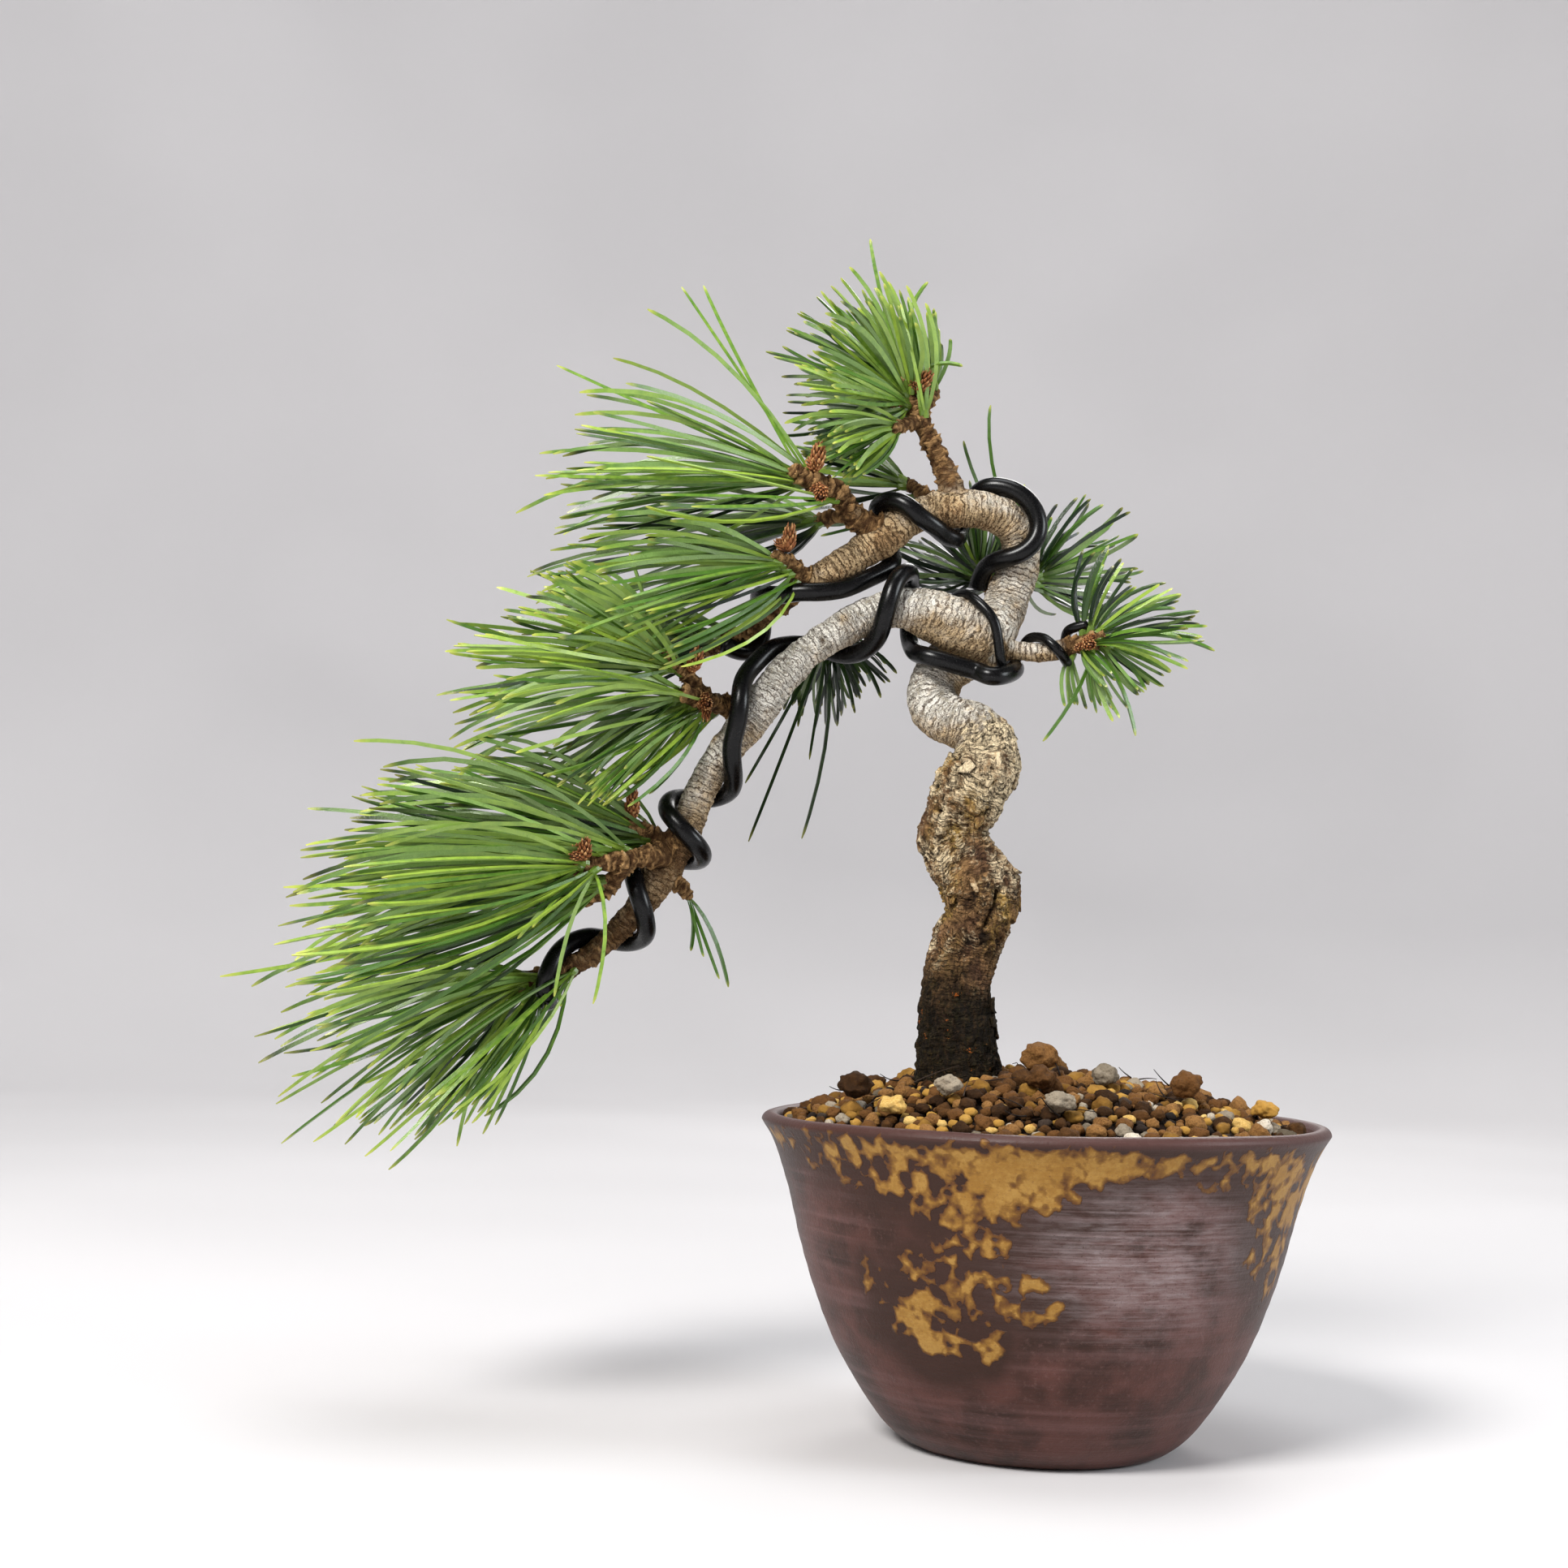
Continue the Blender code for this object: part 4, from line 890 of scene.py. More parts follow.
@dataclass
class Limb:
    """One limb of the tree, followed by its bark, its wires and its needles."""

    name: str
    fine: int = 16

    def __post_init__(self) -> None:
        """Work out the limb's path, tangents, side frame and running length."""
        rows = np.array(LIMBS[self.name], dtype=float)
        self.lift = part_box("pot")[1][2] / MM - PLANTING_RIM_HEIGHT
        rows[:, 2] += self.lift
        path = smooth_points(rows, self.fine)
        self.points = path[:, :3]
        self.radii = path[:, 3]
        tangents = np.gradient(self.points, axis=0)
        self.tangents = tangents / np.linalg.norm(tangents, axis=1)[:, None]
        steps = np.linalg.norm(np.diff(self.points, axis=0), axis=1)
        self.run = np.concatenate([[0.0], np.cumsum(steps)])
        self.length = float(self.run[-1])

    def at(self, station: float) -> tuple[np.ndarray, float, np.ndarray]:
        """Find the centre, radius and direction at a fractional point number.

        Args:
            station: The fractional point number.

        Returns:
            Centre, radius and direction.
        """
        index = min(max(station * self.fine, 0.0), len(self.points) - 1.0)
        low = min(int(index), len(self.points) - 2)
        share = index - low
        centre = self.points[low] * (1 - share) + self.points[low + 1] * share
        radius = self.radii[low] * (1 - share) + self.radii[low + 1] * share
        before = self.points[max(low - self.fine // 4, 0)]
        after = self.points[min(low + 1 + self.fine // 4, len(self.points) - 1)]
        return centre, radius, unit(after - before)

    def from_end(self, back: float) -> tuple[np.ndarray, float, np.ndarray]:
        """Find the centre, radius and direction at a distance back from the tip.

        Args:
            back: Millimetres back from the tip.

        Returns:
            Centre, radius and direction.
        """
        index = np.interp(self.length - back, self.run, np.arange(len(self.run)))
        return self.at(float(index) / self.fine)

    def along(self, table: Sequence[tuple]) -> np.ndarray:
        """Read a table of (share of the limb, number) at every point of the path."""
        shares = np.arange(len(self.points)) / (len(self.points) - 1)
        return np.interp(shares, [share for share, _ in table], [number for _, number in table])

    def ages(self) -> np.ndarray:
        """Give the bark's age at every point of the path."""
        return self.along(BARK_AGES.get(self.name, TWIG_AGES))

    def warmth(self) -> np.ndarray:
        """Give how brown the smooth bark is at every point of the path."""
        return self.along(BARK_WARMTH.get(self.name, TWIG_WARMTH))


# ---- pot

@dataclass
class Pot:
    """The hand-thrown conical pot with its splashes of glaze."""

    wall: float = 3.2
    floor: float = 4.0
    sides: int = 320
    hole_radius: float = 3.5
    hole_count: int = 3
    hole_circle: float = 12.0
    rim_slope: float = -0.55
    shape: tuple = ((0.945, 0.90), (0.888, 0.75), (0.842, 0.595), (0.788, 0.45), (0.716, 0.30),
                    (0.625, 0.165), (0.540, 0.065), (0.465, 0.012))
    foot: float = 21.5
    lip_squash: float = 0.9
    lip_steps: int = 12
    floor_steps: int = 10
    inner_steps: int = 34
    outer_steps: int = 120
    wobble: float = 0.45
    throwing_marks: float = 0.09
    rim_wave: float = 0.35
    stain_reach: float = 2.4
    glaze_start: float = 6.0
    lip_band: float = 2.2
    # Painted sheen, on glossier clay: (bearing, height, half width in degrees, half height)
    painted_sheen_spot: tuple = (16.0, 38.0, 26.0, 13.0)
    sharp_angle: float = 55.0
    # Glaze: (bearing from the front in degrees, height, half width, half height, strength)
    splashes: tuple = (
        (-58, 53, 4, 4, 0.55), (-52, 53.5, 5, 3.4, 0.7), (-44, 54.0, 6, 3.6, 0.84),
        (-38, 50.5, 6, 4.4, 0.72), (-48, 50.5, 4, 3, 0.5), (-31, 46.0, 5, 3.6, 0.58),
        (-35, 54.6, 6, 3.2, 0.86), (-30, 50.0, 6, 4.0, 0.72), (-24, 53.6, 7, 4.4, 1.0),
        (-22, 48.0, 6, 4.0, 0.78), (-15, 52.6, 7, 5.4, 1.3), (-7, 52.2, 7, 5.0, 1.35),
        (-14, 48.6, 5.0, 4.0, 1.2), (-7, 48.4, 4.4, 3.0, 1.0), (1, 54.0, 6, 3.6, 1.15),
        (9, 54.8, 6, 2.6, 0.98), (18, 54.6, 6, 2.0, 0.84), (28, 55.0, 5, 1.9, 0.72),
        (37, 54.8, 5, 2.2, 0.72), (30, 51.4, 4, 1.6, 0.5), (-26, 44.5, 4.6, 3.6, 0.78),
        (-20, 43.6, 4.4, 3.6, 0.86), (-20, 39.4, 4.6, 3.4, 0.82), (-26, 37.6, 3.6, 3.0, 0.66),
        (-14, 40.0, 2.6, 2.4, 0.6), (-23, 34.4, 4.6, 3.0, 0.86), (-15, 32.8, 4.6, 2.6, 0.84),
        (-9, 33.8, 3, 1.8, 0.7), (-34, 34.4, 4.2, 3.4, 0.72), (-34, 29.6, 4.8, 3.4, 0.98),
        (-37, 26.2, 4.4, 3.4, 1.15), (-31, 23.0, 4.4, 3.2, 1.2), (-43, 29.8, 3.4, 3.6, 0.66),
        (-25, 29.4, 4.0, 2.6, 0.74), (-18, 28.8, 3.4, 2.2, 0.62), (-19.5, 21.2, 1.8, 2.0, 0.95),
        (-17, 24.6, 1.8, 2.8, 0.9), (-8.5, 28.6, 2.8, 1.7, 0.9), (-3.6, 29.8, 2.6, 1.5, 0.95),
        (-48, 32, 2.6, 3.6, 0.56), (44, 53.6, 7, 3.6, 0.95), (53, 51.6, 7, 4.8, 1.05),
        (45, 48.4, 4.2, 3.8, 0.72), (60, 46.0, 6, 5.0, 1.05), (52, 43.4, 4.6, 4.4, 0.9),
        (50, 38.4, 4.0, 4.0, 0.74), (61, 38.0, 4.6, 4.4, 0.9), (60, 32.0, 4.0, 3.4, 0.66),
        (70, 50.0, 6, 6, 1.0), (80, 53, 9, 4, 0.9), (104, 52, 9, 5, 0.95), (118, 43, 6, 6, 0.9),
        (131, 34, 5, 5, 0.85), (139, 54, 9, 3, 0.88), (162, 51, 8, 5, 0.98), (170, 40, 4, 6, 0.85),
        (188, 54.5, 8, 2.6, 0.85), (214, 52, 9, 4.6, 0.96), (226, 41, 5, 7, 0.86),
        (236, 30, 5, 4, 0.9), (247, 54, 8, 3, 0.84), (268, 50, 6, 6, 0.88), (286, 54.5, 7, 2.4, 0.8))

    def __post_init__(self) -> None:
        """Take the pot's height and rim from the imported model."""
        _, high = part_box("pot")
        self.height = high[2] / MM
        self.rim = high[0] / MM

    def outer_radius(self, height: np.ndarray) -> np.ndarray:
        """Find the outer radius at heights."""
        rows = [(1.0, 0.985)] + list(self.shape) + [(self.foot / self.rim, 0.0)]
        smooth = smooth_points(rows, 8)[::-1]
        return np.interp(height, smooth[:, 1] * self.height, smooth[:, 0] * self.rim)

    def inner_radius(self, height: np.ndarray) -> np.ndarray:
        """Find the inner radius at heights."""
        return self.outer_radius(height) - self.wall

    def profile(self) -> list[tuple[float, float]]:
        """List (radius, height) from the inside floor, up, over the lip and down to the base."""
        lip = self.wall / 2
        top = self.height - lip * self.lip_squash
        flat = self.inner_radius(self.floor) - 1.0
        rows = [(radius, self.floor) for radius in np.linspace(0.0, flat, self.floor_steps)]
        inside = np.linspace(self.floor + 0.5, top, self.inner_steps)
        rows += [(float(self.inner_radius(level)), level) for level in inside]
        centre = float(self.outer_radius(top)) - lip
        for step in range(1, self.lip_steps):
            turn = math.pi - math.pi * step / self.lip_steps
            rows.append((centre + lip * math.cos(turn), top + lip * self.lip_squash * math.sin(turn)))
        outside = np.linspace(top, 0.35, self.outer_steps)
        rows += [(float(self.outer_radius(level)), level) for level in outside]
        rows += [(self.foot - 0.1, 0.06), (self.foot - 0.6, 0.0)]
        rows += [(radius, 0.0) for radius in np.linspace(self.foot - 1.6, 0.0, 12)]
        return rows

    def turned(self) -> Mesh:
        """Turn the profile into a mesh with a hand-made wobble."""
        rows = self.profile()
        shape = bmesh.new()
        rings = []
        for radius, height in rows:
            if radius < 1e-6:
                rings.append([shape.verts.new((0.0, 0.0, height * MM))])
                continue
            share = max(0.0, height / self.height)
            ring = []
            for side in range(self.sides):
                turn = math.tau * side / self.sides
                east, north = math.cos(turn), math.sin(turn)
                wobble = noise.noise(Vector((east * 0.9, north * 0.9, height * 0.02)))
                throw = noise.noise(Vector((east * 0.35, north * 0.35, height * 0.55)))
                grow = self.wobble * wobble * share + self.throwing_marks * throw
                grow *= min(1.0, height / 3.0)
                wave = noise.noise(Vector((east * 1.7, north * 1.7, 3.0)))
                lift = share ** 6 * (-self.rim_slope * east * radius / self.rim + self.rim_wave * wave)
                ring.append(shape.verts.new(((radius + grow) * east * MM, (radius + grow) * north * MM,
                                             (height + lift) * MM)))
            rings.append(ring)
        for low, high in zip(rings, rings[1:]):
            for side in range(self.sides):
                follow = (side + 1) % self.sides
                corners = [low[side % len(low)], low[follow % len(low)],
                           high[follow % len(high)], high[side % len(high)]]
                shape.faces.new(list(dict.fromkeys(corners)))
        bmesh.ops.recalc_face_normals(shape, faces=shape.faces)
        return finished_mesh(shape, "pot_turned")

    def drilled(self, mesh: Mesh) -> Mesh:
        """Cut the drain holes.

        Args:
            mesh: The turned pot.

        Returns:
            The mesh with its holes.
        """
        body = link_mesh("pot_blank", mesh, [])
        cutters = []
        for number in range(self.hole_count):
            turn = math.tau * (number + 0.25) / self.hole_count
            shape = bmesh.new()
            bmesh.ops.create_cone(shape, cap_ends=True, segments=40, radius1=self.hole_radius * MM,
                                  radius2=self.hole_radius * MM, depth=3 * self.floor * MM)
            place = Vector((math.cos(turn), math.sin(turn), 0.0)) * self.hole_circle * MM
            bmesh.ops.translate(shape, verts=shape.verts, vec=place)
            cutter = link_mesh(f"hole_{number}", finished_mesh(shape, f"hole_{number}"), [])
            cutters.append(cutter)
            modifier = body.modifiers.new("hole", "BOOLEAN")
            modifier.operation = "DIFFERENCE"
            modifier.solver = "EXACT"
            modifier.object = cutter
        baked = baked_mesh(body)
        for item in (body, *cutters):
            bpy.data.objects.remove(item, do_unlink=True)
        return baked

    def mark(self, mesh: Mesh) -> None:
        """Store where the glaze and the lip lie, and the patch of painted sheen."""
        places = vertex_places(mesh)
        bearing = np.degrees(np.arctan2(places[:, 0], -places[:, 1]))
        height = places[:, 2]
        reach = np.hypot(places[:, 0], places[:, 1])
        glaze = np.zeros(len(places))
        stain = np.zeros(len(places))
        for turn, middle, wide, tall, strength in self.splashes:
            aside = (bearing - turn + 180.0) % 360.0 - 180.0
            arc = np.radians(aside) * self.outer_radius(middle)
            gap = (arc / wide) ** 2 + ((height - middle) / tall) ** 2
            glaze = np.maximum(glaze, strength * np.exp(-gap ** 1.3))
            stain = np.maximum(stain, strength * np.exp(-gap / self.stain_reach ** 2))
        outside = reach > self.inner_radius(np.clip(height, 0, None)) + 0.6 * self.wall
        glaze *= outside * (height > self.glaze_start)
        lip = np.clip((height - (self.height - self.lip_band)) / 1.6, 0.0, 1.0)
        glaze *= 1.0 - 0.75 * lip
        # The patch that carries the painted sheen
        turn, middle, wide, tall = self.painted_sheen_spot
        painted_sheen_zone = np.exp(-(((bearing - turn) / wide) ** 2 + ((height - middle) / tall) ** 2) ** 1.5)
        marks = {"glaze": glaze, "lip": lip, "painted_sheen_zone": painted_sheen_zone * outside, "stain": stain * outside}
        for name, values in marks.items():
            set_marks(mesh, name, values)

    def build(self) -> None:
        """Make the pot."""
        mesh = self.drilled(self.turned())
        self.mark(mesh)
        piece = link_mesh("stoneware_pot", mesh, [StonewareFinish().material()])
        mesh.set_sharp_from_angle(angle=math.radians(self.sharp_angle))
        claim(piece, "stoneware", "pot")


def baked_mesh(obj: Object) -> Mesh:
    """Apply an object's modifiers to a new mesh."""
    bpy.context.view_layer.update()
    depsgraph = bpy.context.evaluated_depsgraph_get()
    return bpy.data.meshes.new_from_object(obj.evaluated_get(depsgraph))


def vertex_places(mesh: Mesh) -> np.ndarray:
    """Read a mesh's vertices in millimetres."""
    flat = np.empty(len(mesh.vertices) * 3)
    mesh.vertices.foreach_get("co", flat)
    return flat.reshape(-1, 3) / MM


def vertex_normals(mesh: Mesh) -> np.ndarray:
    """Read a mesh's vertex normals."""
    flat = np.empty(len(mesh.vertices) * 3)
    mesh.vertex_normals.foreach_get("vector", flat)
    return flat.reshape(-1, 3)


# ---- soil

@dataclass
class Soil:
    """The mounded soil: a dark bed with loose grains of clay, pumice and pebble on it."""

    pot: Pot
    edge_drop: float = 2.0
    mound: float = 9.5
    sink: float = 1.5
    wall_gap: float = 0.3
    bed_sides: int = 144
    bed_rings: int = 46
    bed_roughness: float = 0.6
    seed: int = 5
    rootlets: int = 26
    rootlet_reach: float = 40.0
    tries: int = 14
    # Least distance between two grains, as a share of their sizes' sum
    crowding: float = 0.42
    # (kind, count, smallest, largest, flatness)
    mixture: tuple = ((GrainKind.CLAY, 46, 3.8, 5.4, 0.8), (GrainKind.PEBBLE, 50, 2.8, 4.2, 0.75),
                      (GrainKind.PUMICE, 26, 2.4, 3.8, 0.78), (GrainKind.CLAY, 360, 2.2, 3.6, 0.8),
                      (GrainKind.PEBBLE, 300, 1.7, 2.8, 0.75), (GrainKind.DARK, 200, 1.4, 2.8, 0.7),
                      (GrainKind.PUMICE, 160, 1.4, 2.5, 0.8), (GrainKind.CLAY, 640, 1.2, 2.2, 0.8))

    def __post_init__(self) -> None:
        """Work out the height and the reach of the soil's edge from the pot."""
        self.edge = self.pot.height - self.edge_drop
        self.span = float(self.pot.inner_radius(self.edge))

    def height(self, reach: float) -> float:
        """Find the mound's height at a distance from the pot's axis."""
        return self.edge + self.mound * (1.0 - min(reach / self.span, 1.0) ** 2)

    def build_bed(self) -> None:
        """Make the bumpy dark bed under the grains."""
        rings = self.bed_rings
        turns = [math.tau * side / self.bed_sides for side in range(self.bed_sides)]
        verts = []
        for depth in (self.edge - self.pot.floor - 0.8, 40.0, 20.0):
            level = self.edge - depth
            reach = float(self.pot.inner_radius(level)) - self.wall_gap
            verts += [(reach * math.cos(turn), reach * math.sin(turn), level) for turn in turns]
        for ring in range(rings, 0, -1):
            reach = (self.span - self.wall_gap) * ring / rings
            for turn in turns:
                east, north = reach * math.cos(turn), reach * math.sin(turn)
                rough = noise.noise(Vector((east, north, 0.0)) / 2.2)
                rough += 0.5 * noise.noise(Vector((east, north, 5.0)))
                inward = 1.0 - (ring / rings) ** 8
                level = self.height(reach) - self.sink + self.bed_roughness * rough * inward
                verts.append((east, north, level))
        verts += [(0.0, 0.0, self.pot.floor + 2.0), (0.0, 0.0, self.height(0.0) - self.sink)]
        parts = MeshParts()
        parts.add(np.array(verts), ring_faces(rings + 3, self.bed_sides), marks={"tint": 0.2})
        finish = GrainFinish("soil_mass", srgb(20, 13, 9), srgb(48, 30, 19), srgb(84, 54, 34), 0.5)
        claim(parts.build("soil_mass", [finish.material()]), "soil", "soil_bed")

    def lump(self, size: float, flat: float, chance: np.random.Generator, detail: int = 3) -> tuple:
        """Shape one grain.

        Args:
            size: Its width.
            flat: Its height as a share.
            chance: Random numbers.
            detail: Subdivisions.

        Returns:
            Vertices and faces.
        """
        shape = bmesh.new()
        bmesh.ops.create_icosphere(shape, subdivisions=detail, radius=1.0)
        offset = Vector(chance.uniform(-50, 50, 3))
        stretch = np.array((1.0, chance.uniform(0.7, 0.95), flat * chance.uniform(0.85, 1.1)))
        verts = []
        for vert in shape.verts:
            place = Vector(vert.co)
            bulge = 1.0 + 0.34 * noise.noise(place * 1.2 + offset)
            bulge += 0.16 * noise.noise(place * 2.8 + offset)
            facet = -0.16 * abs(noise.noise(place * 1.9 - offset))
            verts.append(np.array(place) * (bulge + facet) * stretch * size / 2)
        faces = [[vert.index for vert in face.verts] for face in shape.faces]
        shape.free()
        return np.array(verts), faces

    def scatter(self) -> list[tuple]:
        """Choose a place, size and turn for every loose grain."""
        chance = np.random.default_rng(self.seed)
        span = self.span - 0.4
        trunk, trunk_radius, _ = Limb("trunk").at(2.0)
        placed: list[tuple] = []
        spots = np.empty((0, 3))
        for kind, count, small, large, flat in self.mixture:
            for _ in range(count):
                size = chance.uniform(small, large)
                for _ in range(self.tries):
                    reach = (span - size * 0.45) * math.sqrt(chance.random())
                    turn = chance.uniform(0.0, math.tau)
                    east, north = reach * math.cos(turn), reach * math.sin(turn)
                    if math.hypot(east - trunk[0], north - trunk[1]) < trunk_radius + size * 0.3:
                        continue
                    if len(spots):
                        gaps = np.hypot(spots[:, 0] - east, spots[:, 1] - north)
                        if (gaps < (spots[:, 2] + size) * self.crowding).any():
                            continue
                    break
                else:
                    continue
                spots = np.vstack([spots, (east, north, size)])
                lift = size * flat * chance.uniform(0.12, 0.4)
                placed.append((kind, east, north, self.height(reach) - 0.6 + lift, size, flat,
                               chance.uniform(0, math.tau), chance.uniform(-0.5, 0.5), chance.random()))
        return placed

    def build_grains(self) -> None:
        """Make the loose grains, one object for each kind."""
        chance = np.random.default_rng(self.seed + 1)
        gathered = {kind: MeshParts() for kind in GrainKind}
        for kind, east, north, level, size, flat, turn, tilt, shade in self.scatter():
            verts, faces = self.lump(size, flat, chance, 2 if size < 3.0 else 3)
            rotation = np.array(Matrix.Rotation(turn, 3, "Z") @ Matrix.Rotation(tilt, 3, "X"))
            verts = verts @ rotation.T + np.array((east, north, level))
            gathered[kind].add(verts, faces, marks={"tint": shade})
        slots = {GrainKind.CLAY: "soil_clay", GrainKind.PEBBLE: "soil_pebble",
                 GrainKind.PUMICE: "soil_pumice", GrainKind.DARK: "soil"}
        for kind, parts in gathered.items():
            piece = parts.build("loose_" + kind.value.name, [kind.value.material()])
            claim(piece, slots[kind])

    def build_named_grains(self) -> None:
        """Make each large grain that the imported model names."""
        chance = np.random.default_rng(self.seed + 2)
        kinds = {"clay": (GrainKind.CLAY, "soil_clay"), "pumice": (GrainKind.PUMICE, "soil_pumice"),
                 "pebble": (GrainKind.PEBBLE, "soil_pebble")}
        materials = {kind: kind.value.material() for kind, _ in kinds.values()}
        for node in sorted(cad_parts):
            if not node.startswith("soil_grain_"):
                continue
            kind, slot = kinds[node.split("_")[2]]
            low, high = (np.array(corner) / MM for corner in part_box(node))
            verts, faces = self.lump(1.0, 1.0, chance, 4)
            span = verts.max(axis=0) - verts.min(axis=0)
            middle = (verts.max(axis=0) + verts.min(axis=0)) / 2
            verts = (verts - middle) / span * (high - low) + (low + high) / 2
            parts = MeshParts()
            parts.add(verts, faces, marks={"tint": chance.random()})
            claim(parts.build(node.replace("soil_grain", "grain"), [materials[kind]]), slot, node)

    def build_rootlets(self) -> None:
        """Make the fine dark rootlets and bark fibres that lie on the soil."""
        chance = np.random.default_rng(self.seed + 3)
        parts = MeshParts()
        for _ in range(self.rootlets):
            reach = self.rootlet_reach * math.sqrt(chance.random())
            turn = chance.uniform(0.0, math.tau)
            start = np.array((reach * math.cos(turn), reach * math.sin(turn), 0.0))
            heading = unit((chance.normal(), chance.normal(), chance.uniform(0.0, 0.9)))
            curl = unit(chance.normal(size=3))
            length = chance.uniform(3.0, 8.0)
            steps = np.linspace(0.0, 1.0, 9)[:, None]
            path = start + length * (steps * heading + 0.3 * steps ** 2 * curl)
            ground = np.array([self.height(float(np.hypot(x, y))) for x, y, _ in path])
            path[:, 2] = ground + 1.2 + np.clip(path[:, 2], 0.0, 4.0)
            verts, faces = tube(path, np.linspace(0.16, 0.06, 9), 5)
            parts.add(verts, faces, marks={"tint": chance.random()})
        claim(parts.build("rootlets", [DARK_GRAIN.material()]), "soil")

    def build_mesh_plate(self) -> None:
        """Give the hidden drain mesh its plastic finish."""
        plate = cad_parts["drain_mesh"]
        finish = PlainFinish("mesh_plastic", srgb(30, 30, 33), 1.5, 0.6).material()
        for slot in plate.material_slots:
            slot.material = finish

    def build(self) -> None:
        """Make the soil."""
        self.build_bed()
        self.build_grains()
        self.build_named_grains()
        self.build_rootlets()
        self.build_mesh_plate()


# ---- wood

@dataclass
class Wood:
    """The trunk, branches and twigs, grown as one skin with its bark."""

    limbs: dict
    voxel: float = 0.3
    sides: int = 28
    roots: int = 5
    root_reach: float = 11.0
    root_rise: float = 4.0
    root_drop: float = 13.0
    # The old bark starts to be damp at this height, and is all damp at this depth under it
    damp_top: float = 96.0
    damp_depth: float = 27.0
    seed: int = 12
    chip_count: int = 30
    chip_grid: tuple = (6, 4)
    chip_thickness: float = 0.45
    # Named chips: (point number on the trunk, angle round it, height, width, curl)
    chips: tuple = ((10.6, 84, 5.0, 2.4, -0.25), (12.6, 20, 3.0, 2.4, 0.3), (9.4, -70, 3.4, 2.0, 0.2),
                    (7.4, 66, 4.0, 2.4, 0.35), (12.2, -30, 2.6, 2.6, 0.25))
    # Gashes: (start, end, half width, depth)
    gashes: tuple = (((-9.8, -7.5, 99.8), (-11.9, -7.0, 93.4), 0.6, 2.2),
                     ((-21.8, -4.0, 114.4), (-17.0, -5.5, 113.6), 0.45, 1.2),
                     ((-17.0, -5.5, 113.6), (-12.4, -3.2, 110.8), 0.45, 1.2),
                     ((-19.5, -4.4, 119.0), (-21.0, -4.6, 116.0), 0.4, 0.9))
    # Knots and branch scars: (limb, point number along it, angle round it, size)
    knots: tuple = (("apex", 7.3, 0.0, 2.2), ("apex", 10.3, -10.0, 2.6), ("trunk", 13.2, 40.0, 2.6),
                    ("trunk", 7.2, 60.0, 3.0), ("trunk", 9.6, -70.0, 2.8), ("cascade", 14.0, 0.0, 2.6),
                    ("cascade", 5.6, 20.0, 1.6), ("trunk", 17.0, 80.0, 2.0), ("apex", 13.6, 0.0, 1.8),
                    ("cascade", 10.4, 70.0, 1.6))

    def blank(self) -> Mesh:
        """Join all limbs into one skin without bark."""
        parts = MeshParts()
        for limb in self.limbs.values():
            stride = 4 if limb.name in THICK_LIMBS else 3
            picks = np.unique(np.append(np.arange(0, len(limb.points), stride), len(limb.points) - 1))
            verts, faces = tube(limb.points[picks], limb.radii[picks] * 1.02, self.sides)
            parts.add(verts, faces)
        for number in range(self.roots):
            parts.add(*self.root(number))
        blank = parts.build("wood_blank", [])
        remesh = blank.modifiers.new("skin", "REMESH")
        remesh.mode = "VOXEL"
        remesh.voxel_size = self.voxel * MM
        smooth = blank.modifiers.new("smooth", "SMOOTH")
        smooth.factor = 0.5
        smooth.iterations = 4
        mesh = baked_mesh(blank)
        bpy.data.objects.remove(blank, do_unlink=True)
        return mesh

    def root(self, number: int) -> tuple[np.ndarray, list]:
        """Make one root shoulder that runs from the trunk into the soil."""
        base, radius, _ = self.limbs["trunk"].at(1.3)
        turn = math.tau * (number + 0.3) / self.roots
        out = np.array((math.cos(turn), math.sin(turn), 0.0))
        steps = np.linspace(0.0, 1.0, 10)[:, None]
        path = base + out * (0.45 * radius + self.root_reach * steps) + np.array((0, 0, self.root_rise))
        path = path - np.array((0, 0, self.root_drop)) * steps ** 1.4
        return tube(path, np.linspace(3.4, 1.6, 10), 14)

    def nearest(self, places: np.ndarray) -> dict:
        """Find where each point lies along the tree.

        Args:
            places: Points in millimetres.

        Returns:
            Arrays of the run, age, angle, radius and warmth of each point.
        """
        limbs = list(self.limbs.values())
        before = [self.limbs[LIMB_PARENTS[limb.name]].length if limb.name in LIMB_PARENTS else 0.0
                  for limb in limbs]
        centres = np.vstack([limb.points for limb in limbs])
        radii = np.concatenate([limb.radii for limb in limbs])
        tangents = np.vstack([limb.tangents for limb in limbs])
        runs = np.concatenate([limb.run + start for limb, start in zip(limbs, before)])
        ages = np.concatenate([limb.ages() for limb in limbs])
        warmths = np.concatenate([limb.warmth() for limb in limbs])
        fronts = np.vstack([self.transported(limb.tangents) for limb in limbs])
        tree = kdtree.KDTree(len(centres))
        for index, centre in enumerate(centres):
            tree.insert(centre, index)
        tree.balance()
        picks = np.empty(len(places), dtype=int)
        for number, place in enumerate(places):
            best = min(tree.find_n(place, 10), key=lambda hit: hit[2] - radii[hit[1]])
            picks[number] = best[1]
        away = places - centres[picks]
        along = np.einsum("ij,ij->i", away, tangents[picks])
        fronts = fronts[picks]
        sides = np.cross(tangents[picks], fronts)
        angle = np.arctan2(np.einsum("ij,ij->i", away, sides), np.einsum("ij,ij->i", away, fronts))
        return {"run": runs[picks] + along, "age": ages[picks], "angle": angle, "radius": radii[picks],
                "warm": warmths[picks]}

    @staticmethod
    def transported(tangents: np.ndarray) -> np.ndarray:
        """Carry a side direction along a path without twist."""
        side = np.array(FRONT)
        out = []
        for tangent in tangents:
            side = unit(side - tangent * side.dot(tangent))
            out.append(side)
        return np.array(out)

